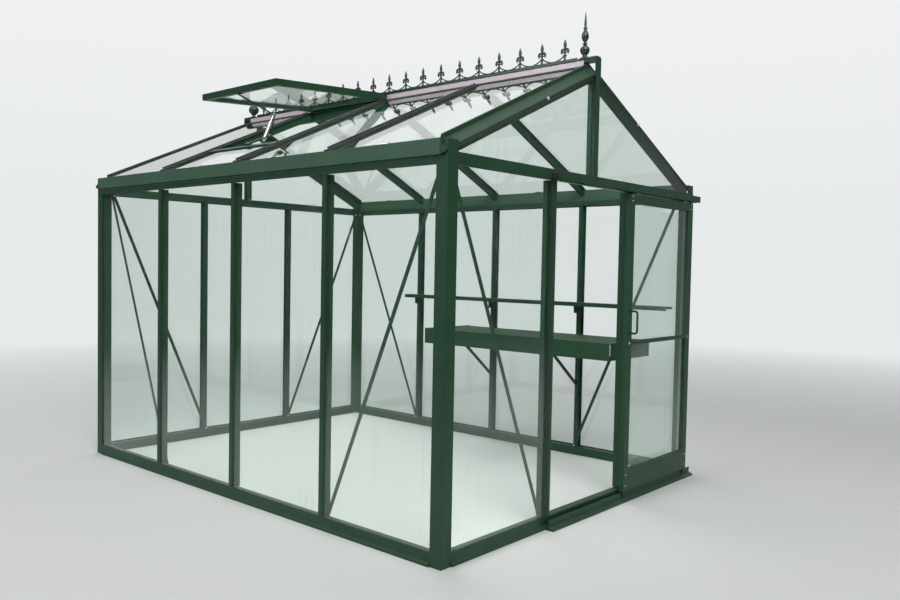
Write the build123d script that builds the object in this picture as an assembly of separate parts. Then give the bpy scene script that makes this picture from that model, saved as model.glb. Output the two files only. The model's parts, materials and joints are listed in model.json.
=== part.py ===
from build123d import *
import os
from math import atan2, cos, radians, sin, tan

os.makedirs("parts", exist_ok=True)

# Millimetres, +Z up. The origin is on the underside of the front sill, on the centre line of the
# door gable. +X runs to the right along that gable and +Y runs into the house, along its length.

# House
bay = 745.0
bays_long = 4
bays_wide = 3
door_bay = 1
vent_bay = 2
pitch = 24.5
eaves_height = 1806.0
eaves_drop = 78.0
beam_height = 36.0
rail_height = 52.0

# Fits
seat = 0.3
glass = 4.0
glass_edge = 3.0

# Wall frame sections
frame_out = 30.0
frame_in = 25.0
post_in = 35.0
flange = 6.0
web = 8.0
mullion_face = 30.0
mullion_box = 22.0
jamb_face = 45.0
king_face = 40.0
slot_depth = 12.0
sill_height = 60.0
sill_seat = 45.0
sill_nose = 8.0
sill_stop = 10.0
nose_height = 10.0
cornice = 5.0
arris = 4.0
rebate = 12.0
stop_rise = 6.0

# Roof sections
rafter_face = 30.0
rafter_flange = 6.0
rafter_box = 22.0
rafter_depth = 42.0
rafter_web_depth = 16.0
gutter_reach = 45.0
gutter_height = 68.0
gutter_wall = 3.0
gutter_bead = 6.0
gutter_end = 66.0
glass_overhang = 12.0
ridge_half = 20.0
ridge_depth = 65.0
ridge_rise = 33.0
ridge_wing = 42.0
ridge_cap = 5.0
gutter_inset = 5.0

# Bargeboards. Rises and drops are square to the roof glass and counted from its middle.
barge_front = 26.0
barge_back = 42.0
barge_drop = 80.0
rim_width = 14.0
rim_rise = 13.0
rim_drop = 6.0
rim_round = 2.0
rim_slot = 8.0
hook_drop = 14.0
nose_drop = 36.0
nose_thick = 10.0
nose_ledge = 10.0
nose_round = 3.0
cove_radius = 12.0
quirk_drop = 58.0
heel_front = 15.0
heel_back = 27.0
apex_plate = 52.0
apex_plate_drop = 80.0

# Ridge ornament
fleur_count = 19
fleur_margin = 176.0
fleur_height = 127.0
fleur_half = 24.0
cresting_thick = 6.0
cresting_strip = 16.0
cresting_strip_thick = 8.0
swag_shoulder = 46.0
swag_band = 5.0
saddle_thick = 7.0
saddle_half = 22.0
saddle_back = 80.0
saddle_clear = 20.0
finial_height = 236.0
finial_radius = 25.0
finial_place = 54.0
ball_radius = 37.0
ball_stem = 16.0
ball_tip = 27.0

# Roof vent
vent_open = 20.5
vent_length = 850.0
vent_margin = 5.0
vent_rail = 30.0
vent_depth = 28.0
vent_groove = 8.0
vent_bite = 6.0
vent_hinge_drop = 20.0
hinge_gap = 1.5
transom_gap = 5.0
transom_width = 30.0
transom_depth = 29.0

# Opener of the vent. Its points are placed up the slope from the transom and above the roof glass.
opener_radius = 11.0
opener_arm = 18.0
opener_fork = 22.0
opener_link = 14.0
opener_plate = 10.0
opener_grip = 6.0
opener_reach = 160.0
knee_reach = 187.0
knee_rise = 134.0
cylinder_reach = 118.0

# Door and its tracks
door_overlap = 25.0
door_short = 60.0
door_bottom = 55.0
door_gap = 12.0
door_thick = 28.0
stile_face = 50.0
top_rail = 50.0
mid_rail = 20.0
mid_rail_place = 860.0
kick_height = 120.0
door_groove = 10.0
rail_groove = 6.0
track_gap = 2.0
track_depth = 50.0
track_fascia = 36.0
track_wall = 4.0
track_past = 10.0
ledge_thick = 3.0
ledge_reach = 24.0
floor_track_reach = 54.0
threshold_back = 18.0
threshold_front = 8.0
guide_rib = 4.0
rib_gap = 6.0
wheel_radius = 12.0
wheel_width = 8.0
wheel_inset = 16.0
wheel_headroom = 6.0
runner_inset = 90.0
runner_half = 30.0
hanger_half = 14.0
hanger_gap = 5.0
hanger_rise = 9.0
axle_radius = 3.0
shoe_inset = 20.0
shoe_half = 15.0
shoe_bottom = 30.0
shoe_gap = 5.0
shoe_cheek = 5.0
handle_length = 120.0
handle_place = 985.0
handle_reach = 45.0
handle_radius = 6.0
rose_thick = 4.0

# Braces, bench and shelf
brace_width = 20.0
brace_thick = 4.0
brace_clear = 11.0
bench_start = 210.0
bench_length = 1490.0
bench_depth = 485.0
bench_top = 830.0
apron_height = 105.0
apron_thick = 3.0
apron_lip = 14.0
slat_count = 6
slat_thick = 12.0
slat_gap = 15.0
arm_height = 30.0
arm_width = 25.0
stay_inset = 110.0
stay_drop = 300.0
stay_width = 20.0
stay_thick = 8.0
wall_gap = 7.5
shelf_start = 60.0
shelf_length = 2235.0
shelf_depth = 85.0
shelf_top = 1045.0
shelf_thick = 25.0
shelf_board = 5.0
shelf_edge = 6.0
shelf_heel = 4.0
shelf_heel_height = 16.0
bracket_width = 20.0
bracket_drop = 70.0
bracket_toe = 4.0

# Derived sizes
half = bays_wide * bay / 2
length = bays_long * bay
slope_cos = cos(radians(pitch))
slope_sin = sin(radians(pitch))
slope_tan = tan(radians(pitch))
apex = eaves_height + half * slope_tan
ridge_top = apex + ridge_rise
slope_length = half / slope_cos
beam_top = eaves_height - eaves_drop
beam_bottom = beam_top - beam_height
rail_top = beam_bottom + rail_height
glass_out = frame_out - flange - seat
groove_half = glass / 2 + seat
big = 4 * (length + half)
FRONT, REAR, LEFT = 180, 0, 90

# The right roof plane: local x is -Y, local y is the roof's outward normal, local z climbs the slope.
slope = Plane(origin=(half, 0, eaves_height), x_dir=(0, -1, 0), z_dir=(-slope_cos, 0, slope_sin))


def save(name, *bodies):
    export_step(Compound(children=list(bodies)), f"parts/{name}.step")


def rect(x0, x1, y0, y1):
    """Axis-aligned rectangle given by its sides."""
    return Pos((x0 + x1) / 2, (y0 + y1) / 2) * Rectangle(x1 - x0, y1 - y0)


def block(x0, x1, y0, y1, z0, z1):
    """Axis-aligned box given by its faces."""
    return Pos((x0 + x1) / 2, (y0 + y1) / 2, (z0 + z1) / 2) * Box(x1 - x0, y1 - y0, z1 - z0)


def upright(section, x, y, turn, z0, z1):
    """Vertical bar. In its section +y points out of the wall."""
    return Pos(x, y, z0) * Rot(0, 0, turn) * extrude(section, amount=z1 - z0)


def level(section, x, y, turn, run):
    """Level bar along a wall. In its section x points out of the wall and y is the height."""
    return Pos(x, y, 0) * Rot(0, 0, turn) * Pos(-run / 2, 0, 0) * extrude(Plane.YZ * section, amount=run)


def slope_bar(section, inner, outer):
    """Bar along the right roof slope at y = 0, cut plumb at two distances from the ridge line."""
    body = extrude(slope.offset(-half / 4) * section, amount=slope_length + half / 2)
    return body & block(inner, outer, -big, big, 0, big)


def other_side(body):
    return mirror(body, about=Plane.YZ)


def other_end(body):
    return Pos(0, length, 0) * mirror(body, about=Plane.XZ)


def strap(start, end, width, thick, face):
    """Flat bar between two points. Its thickness lies along face."""
    start, end = Vector(*start), Vector(*end)
    run = end - start
    plane = Plane(origin=start, x_dir=face, z_dir=run)
    return extrude(plane * Rectangle(thick, width), amount=run.length)


def rod(start, end, radius):
    start, end = Vector(*start), Vector(*end)
    run = end - start
    return extrude(Plane(origin=start, z_dir=run) * Circle(radius), amount=run.length)


# Wall frame

def glazing_bar(face, box):
    """Outer flange, web between the panes, and a deeper box behind them."""
    outer = rect(-face / 2, face / 2, frame_out - flange, frame_out)
    middle = rect(-web / 2, web / 2, -1, frame_out - flange)
    inner = rect(-box / 2, box / 2, -frame_in, -1)
    return outer + middle + inner


def jamb_section():
    """A glazing bar with a solid side towards the doorway."""
    outer = rect(-jamb_face / 2, jamb_face / 2, frame_out - flange, frame_out)
    middle = rect(-jamb_face / 2, web / 2, -1, frame_out - flange)
    inner = rect(-jamb_face / 2, jamb_face / 2 - arris, -frame_in, -1)
    return outer + middle + inner


def post_section():
    """Front left corner post: rounded outer arris and a glass slot in each inner side."""
    body = rect(-frame_out, post_in, -frame_out, post_in)
    corner = body.vertices().sort_by(Axis.X)[:2].sort_by(Axis.Y)[0]
    body = fillet(corner, arris)
    slot_out = -frame_out + flange
    slot_in = slot_out + glass + 2 * seat
    front_slot = rect(post_in - slot_depth, post_in, slot_out, slot_in)
    side_slot = rect(slot_out, slot_in, post_in - slot_depth, post_in)
    return body - front_slot - side_slot


def sill_section():
    """Sloping nose, outer lip over the foot of the glass, and a low inner stop."""
    lip, nose, stop = frame_out - flange, frame_out + sill_nose, sill_seat + sill_stop
    return Polygon(
        (-frame_in, 0), (nose, 0), (nose, nose_height), (frame_out, 2 * nose_height),
        (frame_out, sill_height), (lip, sill_height), (lip, sill_seat), (lip - rebate, sill_seat),
        (lip - rebate, stop), (-frame_in, stop), align=None,
    )


def beam_section():
    """Eaves beam: a lip over the head of the wall glass and a cornice under the gutter."""
    lip, stop = frame_out - flange, beam_bottom + stop_rise
    return Polygon(
        (-frame_in, stop), (lip - rebate, stop), (lip - rebate, beam_bottom + rebate),
        (lip, beam_bottom + rebate), (lip, beam_bottom), (frame_out, beam_bottom),
        (frame_out, beam_top - 2 * cornice), (frame_out + cornice, beam_top - cornice),
        (frame_out + cornice, beam_top), (-frame_in, beam_top), align=None,
    )


def rail_section():
    """Gable rail: an outer flange with a glazing rebate above and below."""
    lip = frame_out - flange
    low, high = beam_bottom + stop_rise, rail_top - stop_rise
    return Polygon(
        (-frame_in, low), (lip - rebate, low), (lip - rebate, beam_bottom + rebate),
        (lip, beam_bottom + rebate), (lip, beam_bottom), (frame_out, beam_bottom), (frame_out, rail_top),
        (lip, rail_top), (lip, rail_top - rebate), (lip - rebate, rail_top - rebate),
        (lip - rebate, high), (-frame_in, high), align=None,
    )


def corner_posts():
    front_left = Pos(-half, 0, 0) * extrude(post_section(), amount=beam_top)
    front = [front_left, other_side(front_left)]
    return front + [other_end(post) for post in front]


def level_runs(section):
    """One length for each wall, cut between the corner posts."""
    post_end = post_in + seat
    side_run = length - 2 * post_end
    gable_run = 2 * (half - post_end)
    left = level(section, -half, length / 2, LEFT, side_run)
    front = level(section, 0, 0, FRONT, gable_run)
    return left, other_side(left), front, other_end(front)


mullion_low = sill_height + seat
mullion_high = beam_bottom - seat
side_places = [bay * i for i in range(1, bays_long)]
gable_places = [bay * i - half for i in range(1, bays_wide)]
door_left, door_right = gable_places[door_bay - 1], gable_places[door_bay]

bar = glazing_bar(mullion_face, mullion_box)
left_mullions = [upright(bar, -half, y, LEFT, mullion_low, mullion_high) for y in side_places]
right_mullions = [other_side(b) for b in left_mullions]
rear_mullions = [upright(bar, x, length, REAR, mullion_low, mullion_high) for x in gable_places]
left_jamb = upright(jamb_section(), door_left, 0, FRONT, mullion_low, mullion_high)
right_jamb = mirror(left_jamb, about=Plane.YZ.offset((door_left + door_right) / 2))

left_sill, right_sill, front_sill, rear_sill = level_runs(sill_section())
left_beam, right_beam = level_runs(beam_section())[:2]
front_rail, rear_rail = level_runs(rail_section())[2:]

save("corner_posts", *corner_posts())
save("side_sills", left_sill, right_sill)
save("front_sill", front_sill)
save("rear_sill", rear_sill)
save("side_mullions", *left_mullions, *right_mullions)
save("rear_mullions", *rear_mullions)
save("door_jambs", left_jamb, right_jamb)
save("eaves_beams", left_beam, right_beam)
save("gable_rails", front_rail, rear_rail)


# Gable heads

rail_end = half - post_in
nose_low = nose_drop + nose_thick


def below_slope(x, drop):
    """Height on the gable of the line that runs a distance under the middle of the roof glass."""
    return apex - abs(x) * slope_tan - drop / slope_cos


def under_slopes(drop):
    """All the space under that line of both slopes."""
    low, high = below_slope(half, drop), below_slope(0, drop)
    outline = Polygon((-half, 0), (half, 0), (half, low), (0, high), (-half, low), align=None)
    return extrude(Plane.XZ * outline, amount=big / 2, both=True)


def barge_section():
    """Upright rim with a glass slot, sloping face, rounded nose over the gable glass, cove and heel."""
    rim_front = rim_width - barge_back
    outline = Polygon(
        (-barge_back, -hook_drop), (-heel_back, -hook_drop), (-heel_back, -barge_drop),
        (-heel_front, -barge_drop), (0, -quirk_drop), (barge_front - nose_ledge, -nose_low),
        (barge_front, -nose_low), (barge_front, -nose_drop), (rim_front, -rim_drop), (rim_front, rim_rise),
        (-barge_back, rim_rise), align=None,
    )
    outline = fillet(outline.vertices().sort_by(Axis.X)[-2:], nose_round)
    outline = fillet(outline.vertices().sort_by(Axis.Y)[-2:], rim_round)
    cove = Pos(barge_front - nose_ledge, -nose_low - cove_radius) * Circle(cove_radius)
    slot = rect(-barge_back, rim_slot - barge_back, -groove_half, groove_half)
    return outline - cove - slot


def barge_board():
    """Right front bargeboard, mitred at the ridge, with the foot block that closes it over the corner post."""
    body = slope_bar(barge_section(), seat / 2, half + gutter_reach)
    body &= block(-big, big, -big, big, beam_top + seat, big)
    body -= block(-big, rail_end, -big, big, 0, rail_top + seat)
    body -= block(half - gutter_wall - seat, big, gutter_inset, big, 0, big)
    base = beam_top + seat
    foot = block(rail_end, half + frame_out, -frame_out, gutter_inset, base, base + gutter_end)
    return body + foot


def king_post():
    """Middle bar of the gable, with a plate on its head that covers the mitre of the bargeboards."""
    base = rail_top + seat
    body = upright(glazing_bar(king_face, mullion_box), 0, 0, FRONT, base, apex) & under_slopes(barge_drop + seat)
    face = block(-king_face / 2, king_face / 2, -frame_out, flange - frame_out, base, apex)
    face &= under_slopes(nose_low + seat)
    low, high = apex - apex_plate_drop, ridge_top + seat
    wide, narrow = apex_plate / 2, king_face / 2
    outline = Polygon((-narrow, low), (narrow, low), (wide, low + narrow), (wide, high), (-wide, high),
                      (-wide, low + narrow), align=None)
    back = barge_front + seat
    plate = extrude(Plane.XZ.offset(back) * outline, amount=frame_out - back)
    return body + face + plate


def gable_pane():
    """Right-hand pane of the gable head, up to the nose of the bargeboard."""
    inner, outer = web / 2 + glass_edge, rail_end - glass_edge
    base, drop = rail_top - rebate + seat, nose_low + seat
    outline = Polygon((inner, base), (outer, base), (outer, below_slope(outer, drop)),
                      (inner, below_slope(inner, drop)), align=None)
    return extrude(Plane.XZ.offset(glass_out - glass) * outline, amount=glass)


right_barge = barge_board()
front_barges = [right_barge, other_side(right_barge)]
front_king = king_post()
right_gable_pane = gable_pane()
front_panes = [right_gable_pane, other_side(right_gable_pane)]
save("bargeboards", *front_barges, *[other_end(b) for b in front_barges])
save("king_posts", front_king, other_end(front_king))
save("gable_glass", *front_panes, *[other_end(p) for p in front_panes])


# Roof

def rafter():
    """Right-hand glazing bar of the roof, cut at the ridge beam and at the gutter's back wall."""
    cap = rect(-rafter_face / 2, rafter_face / 2, groove_half, groove_half + rafter_flange)
    stem = rect(-web / 2, web / 2, -rafter_web_depth, groove_half)
    box = rect(-rafter_box / 2, rafter_box / 2, -rafter_depth, -rafter_web_depth)
    cap_bar = slope_bar(cap, ridge_wing + seat, half + glass_overhang)
    body = slope_bar(stem + box, ridge_half + seat, half - gutter_wall - seat)
    return cap_bar + body


def gutter():
    """Left gutter: fascia with a bead, floor, back wall under the glass, and closed ends."""
    base = beam_top + seat
    top = base + gutter_height
    back_top = eaves_height - glass / 2 / slope_cos - seat
    fascia = rect(gutter_reach - gutter_wall, gutter_reach, base, top)
    bead = rect(gutter_reach - 2 * gutter_wall, gutter_reach, top - gutter_bead, top)
    floor = rect(-gutter_wall, gutter_reach, base, base + gutter_wall)
    back = rect(-gutter_wall, 0, base, back_top)
    start = gutter_inset + seat
    channel = level(fascia + bead + floor + back, -half, length / 2, LEFT, length - 2 * start)
    near = block(-half - gutter_reach, -half + gutter_wall, start, start + gutter_wall, base, base + gutter_end)
    return channel + near + other_end(near)


def ridge_beam():
    """Deep core with a flat cap, wings that cover the heads of the panes, and noses over the bargeboards."""
    def roof_height(x, rise):
        return apex - abs(x) * slope_tan + rise / slope_cos

    core = rect(-ridge_half, ridge_half, apex - ridge_depth, ridge_top)
    cap = rect(-ridge_half - ridge_cap, ridge_half + ridge_cap, ridge_top - ridge_cap, ridge_top)
    low, high = groove_half, groove_half + gutter_wall
    wings = Polygon(
        (0, roof_height(0, high)), (-ridge_wing, roof_height(ridge_wing, high)),
        (-ridge_wing, roof_height(ridge_wing, low)), (0, roof_height(0, low)),
        (ridge_wing, roof_height(ridge_wing, low)), (ridge_wing, roof_height(ridge_wing, high)),
        align=None,
    )
    ends = barge_back + seat
    profile = Plane(origin=(0, ends, 0), x_dir=(-1, 0, 0), z_dir=(0, 1, 0)) * (core + cap + wings)
    nose_base = apex + (rim_rise + seat) / slope_cos
    nose = block(-ridge_half, ridge_half, -barge_front, ends, nose_base, ridge_top)
    return extrude(profile, amount=length - 2 * ends) + nose + other_end(nose)


def roof_pane(start, end, low, high):
    """Right-hand pane between two places along the house and two distances from the ridge line."""
    climb = (half - high) / slope_cos
    run = (high - low) / slope_cos
    section = rect(-end, -start, -glass / 2, glass / 2)
    return extrude(slope.offset(climb) * section, amount=run)


def pane_sides(index):
    """Start and end of the roof pane in a bay: in the barge slot at the ends, clear of the webs between."""
    start = bay * index + web / 2 + glass_edge
    end = bay * (index + 1) - web / 2 - glass_edge
    slot_end = barge_back - rim_slot + glass_edge
    if index == 0:
        start = slot_end
    if index == bays_long - 1:
        end = length - slot_end
    return start, end


hinge_place = ridge_half + hinge_gap
transom_place = hinge_place + vent_length * slope_cos + transom_gap
pane_head = hinge_place
pane_foot = half + glass_overhang
right_panes = [roof_pane(*pane_sides(i), pane_head, pane_foot) for i in range(bays_long)]
left_panes = []
for i in range(bays_long):
    head = transom_place + transom_width / 2 + seat if i == vent_bay else pane_head
    left_panes.append(other_side(roof_pane(*pane_sides(i), head, pane_foot)))

one_rafter = rafter()
right_rafters = [Pos(0, y, 0) * one_rafter for y in side_places]
left_gutter = gutter()
save("rafters", *right_rafters, *[other_side(r) for r in right_rafters])
save("gutters", left_gutter, other_side(left_gutter))
save("ridge_beam", ridge_beam())
save("roof_glass_right", *right_panes)
save("roof_glass_left", *left_panes)


# Ridge ornament

def fleur(place):
    """Fleur of the cresting in the plane of the ridge: tapered stem, collar, two drooping leaves, a blade."""
    right = [(0.45, 0), (0.19, 0.24), (0.16, 0.42), (0.5, 0.43), (0.5, 0.47), (0.2, 0.48), (0.42, 0.5),
             (0.8, 0.4), (1, 0.44), (0.96, 0.56), (0.6, 0.65), (0.21, 0.66), (0.38, 0.76), (0.32, 0.84)]
    right = [(x * fleur_half, z * fleur_height) for x, z in right]
    left = [(-x, z) for x, z in reversed(right)]
    return Pos(place, 0) * Polygon(*right, (0, fleur_height), *left, align=None)


def swag(start, end):
    """Hanging curve between two fleurs."""
    middle = (start + end) / 2
    low = cresting_strip - swag_band / 2
    upper = ThreePointArc((start, swag_shoulder), (middle, low + swag_band), (end, swag_shoulder))
    lower = ThreePointArc((end, swag_shoulder - swag_band), (middle, low), (start, swag_shoulder - swag_band))
    sides = [Line((start, swag_shoulder - swag_band), (start, swag_shoulder)),
             Line((end, swag_shoulder), (end, swag_shoulder - swag_band))]
    return make_face(upper + lower + sides)


def cresting():
    base = ridge_top + seat
    step = (length - 2 * fleur_margin) / (fleur_count - 1)
    places = [fleur_margin + step * i for i in range(fleur_count)]
    outline = Sketch()
    for place in places:
        outline += fleur(place)
    for start, end in zip(places, places[1:]):
        outline += swag(start, end)
    plane = Plane(origin=(0, 0, base), x_dir=(0, 1, 0), z_dir=(1, 0, 0))
    ornament = extrude(plane * outline, amount=cresting_thick / 2, both=True)
    start, end = saddle_back + saddle_clear, length - saddle_back - saddle_clear
    strip = block(-cresting_strip_thick / 2, cresting_strip_thick / 2, start, end, base, base + cresting_strip)
    return ornament + strip


saddle_base = ridge_top + 2 * seat


def saddle():
    """Plate under a finial, along the ridge and over the head of the king post."""
    return block(-saddle_half, saddle_half, -frame_out, saddle_back, saddle_base, saddle_base + saddle_thick)


def turned(points):
    """Turned ornament on the saddle, from the radii and heights of its outline."""
    base = saddle_base + saddle_thick
    outline = Polyline((0, 0), *points, (0, points[-1][1]), close=True)
    plane = Plane(origin=(0, finial_place, base), x_dir=(1, 0, 0), z_dir=(0, -1, 0))
    return revolve(make_face(plane * outline), Axis((0, finial_place, base), (0, 0, 1)))


def front_finial():
    """Two bulbs with a waist between them, a collar and a long spike."""
    shares = [(0.8, 0), (0.52, 0.06), (0.97, 0.14), (0.97, 0.21), (0.36, 0.3), (0.73, 0.43), (0.73, 0.51),
              (0.32, 0.62), (0.44, 0.65), (0.28, 0.69), (0.08, 1)]
    return saddle() + turned([(r * finial_radius, z * finial_height) for r, z in shares])


def rear_finial():
    """Ball on a short stem, with a point on top."""
    centre = ball_stem + ball_radius
    outline = [(ball_radius * 0.55, 0), (ball_radius * 0.35, ball_stem)]
    for angle in range(28, 154, 25):
        outline.append((ball_radius * sin(radians(angle)), centre - ball_radius * cos(radians(angle))))
    outline += [(ball_radius * 0.2, centre + ball_radius), (ball_radius * 0.05, centre + ball_radius + ball_tip)]
    return other_end(saddle() + turned(outline))


save("ridge_cresting", cresting())
save("ridge_finials", front_finial(), rear_finial())


# Wall glass

def wall_pane(start, end, top):
    """Pane in a wall that runs along +X at y = 0, its outer face behind the flange."""
    low = sill_seat + seat
    return block(start, end, glass_out - glass, glass_out, low, top)


def pane_run(index, count, first):
    """Sides of a wall pane: in the post's slot at a corner, clear of the bar's web elsewhere."""
    start = first + bay * index + web / 2 + glass_edge
    end = first + bay * (index + 1) - web / 2 - glass_edge
    if index == 0:
        start = first + post_in - slot_depth + glass_edge
    if index == count - 1:
        end = first + bay * count - post_in + slot_depth - glass_edge
    return start, end


pane_top = beam_bottom + rebate - seat
left_wall_panes = []
for i in range(bays_long):
    flat = wall_pane(*pane_run(i, bays_long, -length / 2), pane_top)
    left_wall_panes.append(Pos(-half, length / 2, 0) * Rot(0, 0, LEFT) * flat)
rear_wall_panes = []
front_wall_panes = []
for i in range(bays_wide):
    flat = wall_pane(*pane_run(i, bays_wide, -half), pane_top)
    rear_wall_panes.append(Pos(0, length, 0) * flat)
    if i != door_bay:
        front_wall_panes.append(mirror(flat, about=Plane.XZ))
save("wall_glass_left", *left_wall_panes)
save("wall_glass_right", *[other_side(p) for p in left_wall_panes])
save("wall_glass_rear", *rear_wall_panes)
save("wall_glass_front", *front_wall_panes)


# Roof vent, held open over its bay of the left slope

vent_start = bay * vent_bay
vent_end = vent_start + bay
vent_middle = (vent_start + vent_end) / 2
droop = pitch - vent_open
hinge = Pos(-hinge_place, vent_middle, ridge_top - vent_hinge_drop) * Rot(0, -droop, 0)


def vent_frame():
    """Four rails around the vent's glass. The leaf runs from its hinge towards -X."""
    outer = bay / 2 - vent_margin
    inner = outer - vent_rail
    groove = rect(-inner - vent_groove, inner + vent_groove, -groove_half, groove_half)
    sides = []
    for side in (-1, 1):
        section = rect(min(side * inner, side * outer), max(side * inner, side * outer),
                       -vent_depth / 2, vent_depth / 2) - groove
        sides.append(extrude(Plane.YZ.offset(-vent_length) * section, amount=vent_length))
    cross = rect(-vent_rail, 0, -vent_depth / 2, vent_depth / 2)
    cross -= rect(-vent_rail, -vent_rail + vent_groove, -groove_half, groove_half)
    reach = inner - seat
    head = extrude(Plane.XZ.offset(-reach) * cross, amount=2 * reach)
    foot = Pos(-vent_length, 0, 0) * mirror(head, about=Plane.YZ)
    return [hinge * rail for rail in (*sides, head, foot)]


def vent_glass():
    reach = bay / 2 - vent_margin - vent_rail + vent_bite
    head = -vent_rail + vent_bite
    return hinge * block(-vent_length - head, head, -reach, reach, -glass / 2, glass / 2)


def vent_transom():
    """Cross bar that closes the roof below the vent. Its top flange covers the pane's head."""
    reach = bay / 2 - rafter_box / 2 - seat
    run = transom_width / slope_cos
    climb = (half - transom_place - transom_width / 2) / slope_cos
    body = extrude(slope.offset(climb) * rect(-reach, reach, -transom_depth, glass / 2), amount=run)
    flange_reach = bay / 2 - rafter_face / 2 - seat
    flange_face = rect(-flange_reach, flange_reach, glass / 2, groove_half + rafter_flange)
    lip = extrude(slope.offset(climb - rebate) * flange_face, amount=run + rebate)
    lip -= extrude(slope.offset(climb - rebate) * rect(-big, big, 0, groove_half), amount=rebate)
    return Pos(0, vent_middle, 0) * other_side(body + lip)


def roof_point(climb, rise=0.0):
    """Point above the left slope at the middle of the vent, by its distance from the transom to the ridge."""
    distance = transom_place - climb
    return (-distance, vent_middle, apex - distance * slope_tan + rise)


def leaf_point():
    """Where the opener's arm meets the underside of the leaf's foot rail."""
    reach = vent_length - vent_rail / 2
    drop = reach * sin(radians(droop)) + vent_depth / 2 / cos(radians(droop))
    x = -hinge_place - reach * cos(radians(droop))
    z = ridge_top - vent_hinge_drop - drop
    knee = roof_point(knee_reach, knee_rise)
    tilt = atan2(z - knee[2], knee[0] - x)
    return (x, vent_middle, z - seat - opener_link / 2 * cos(tilt))


def vent_opener():
    """Automatic opener: base arm on the transom, cylinder and stay to the knee, and an arm to the leaf."""
    on_transom = (groove_half + rafter_flange + seat + opener_arm / 2) / slope_cos
    knee = roof_point(knee_reach, knee_rise)
    side = (0, 1, 0)
    arm_base = strap(roof_point(opener_grip, on_transom), roof_point(opener_reach, on_transom),
                     opener_arm, opener_fork, side)
    arm_leaf = strap(knee, leaf_point(), opener_link, opener_plate, side)
    bolt = Pos(*knee) * Rot(90, 0, 0) * Cylinder(opener_arm / 2, opener_fork + 2 * rose_thick)
    barrel = rod(roof_point(cylinder_reach), knee, opener_radius)
    stay = strap(roof_point(opener_reach), knee, opener_plate, opener_fork + rose_thick, side)
    return arm_base + arm_leaf + bolt + barrel + stay


save("vent_frame", *vent_frame())
save("vent_glass", vent_glass())
save("vent_transom", vent_transom())
save("vent_opener", vent_opener())


# Wall braces: flat bars inside the corner bays, from the head of the corner to the next bar's foot

def brace(turn, y):
    """Brace of the first bay of a wall that starts at the front or rear left corner."""
    depth = -frame_in - seat - brace_thick / 2
    top = (post_in + brace_clear, depth, beam_top - beam_height / 2)
    bottom = (bay + brace_clear, depth, sill_seat)
    return Pos(-half, y, 0) * Rot(0, 0, turn) * strap(top, bottom, brace_width, brace_thick, (0, 1, 0))


front_left_brace = mirror(brace(REAR, 0), about=Plane.XZ)
left_brace = brace(LEFT, 0)
near_side = [left_brace, other_side(left_brace)]
rear_left_brace = other_end(front_left_brace)
save("wall_braces", front_left_brace, *near_side, *[other_end(b) for b in near_side],
     rear_left_brace, other_side(rear_left_brace))


# Bench and shelf on the right-hand wall

wall_face = half - frame_in
bench_back = wall_face - wall_gap
bench_front = bench_back - bench_depth
bench_end = bench_start + bench_length
bench_bars = [y for y in side_places if bench_start < y < bench_end]
shelf_bars = [y for y in side_places if shelf_start < y < shelf_start + shelf_length]


def bench_apron():
    """Folded front and end aprons with turned-in lips."""
    low, high = bench_top - apron_height, bench_top
    fold = rect(0, apron_thick, low, high)
    fold += rect(0, apron_lip, high - apron_thick, high)
    fold += rect(0, apron_lip, low, low + apron_thick)
    front = extrude(Plane.XZ.offset(-bench_end) * (Pos(bench_front, 0) * fold), amount=bench_length)
    corner = bench_front + apron_lip + seat
    near_fold = Plane(origin=(corner, bench_start, 0), x_dir=(0, 1, 0), z_dir=(1, 0, 0)) * fold
    near = extrude(near_fold, amount=bench_depth - apron_lip - seat)
    far = mirror(near, about=Plane.XZ.offset(-(bench_start + bench_end) / 2))
    return front, near, far


def bench_slats():
    """Lengthwise slats between the end aprons, their tops just under the lips."""
    inset = apron_lip + seat
    start = bench_front + inset
    width = (bench_back - start - slat_gap * (slat_count - 1)) / slat_count
    top = bench_top - apron_thick - seat
    slats = []
    for i in range(slat_count):
        x = start + i * (width + slat_gap)
        slats.append(block(x, x + width, bench_start + inset, bench_end - inset, top - slat_thick, top))
    return slats


def bench_brackets():
    """Arm under the slats and a sloping stay, both fixed to a bar of the wall."""
    top = bench_top - apron_thick - slat_thick - 2 * seat
    under = top - arm_height
    pieces = []
    for y in bench_bars:
        arm = block(bench_front + apron_thick + seat, wall_face - seat, y - arm_width / 2, y + arm_width / 2,
                    under, top)
        stay = strap((bench_front + stay_inset, y, under), (wall_face, y, under - stay_drop),
                     stay_width, stay_thick, (0, 1, 0))
        stay &= block(-big, wall_face - seat, -big, big, 0, under - seat)
        pieces += [arm, stay]
    return pieces


shelf_back = wall_face - wall_gap
shelf_front = shelf_back - shelf_depth


def wall_shelf():
    """Shelf with a deep front edge and a turned-down heel."""
    edge = rect(shelf_front, shelf_front + shelf_edge, shelf_top - shelf_thick, shelf_top)
    board = rect(shelf_front, shelf_back, shelf_top - shelf_board, shelf_top)
    heel = rect(shelf_back - shelf_heel, shelf_back, shelf_top - shelf_heel_height, shelf_top)
    return extrude(Plane.XZ.offset(-shelf_start - shelf_length) * (edge + board + heel), amount=shelf_length)


def shelf_brackets():
    """Angle brackets under the shelf, notched for its heel."""
    back, front = wall_face - seat, shelf_front + shelf_edge + seat
    top = shelf_top - shelf_board - seat
    low, under = top - bracket_drop, top - shelf_heel_height
    outline = Polygon((back, top), (back, low), (back - bracket_toe, low), (back - 2 * bracket_toe, under),
                      (front, under), (front, top), align=None)
    heel = shelf_top - shelf_heel_height - seat
    outline -= rect(shelf_back - shelf_heel - seat, shelf_back + seat, heel, shelf_top)
    return [extrude(Plane.XZ.offset(-y - bracket_width / 2) * outline, amount=bracket_width) for y in shelf_bars]


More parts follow.
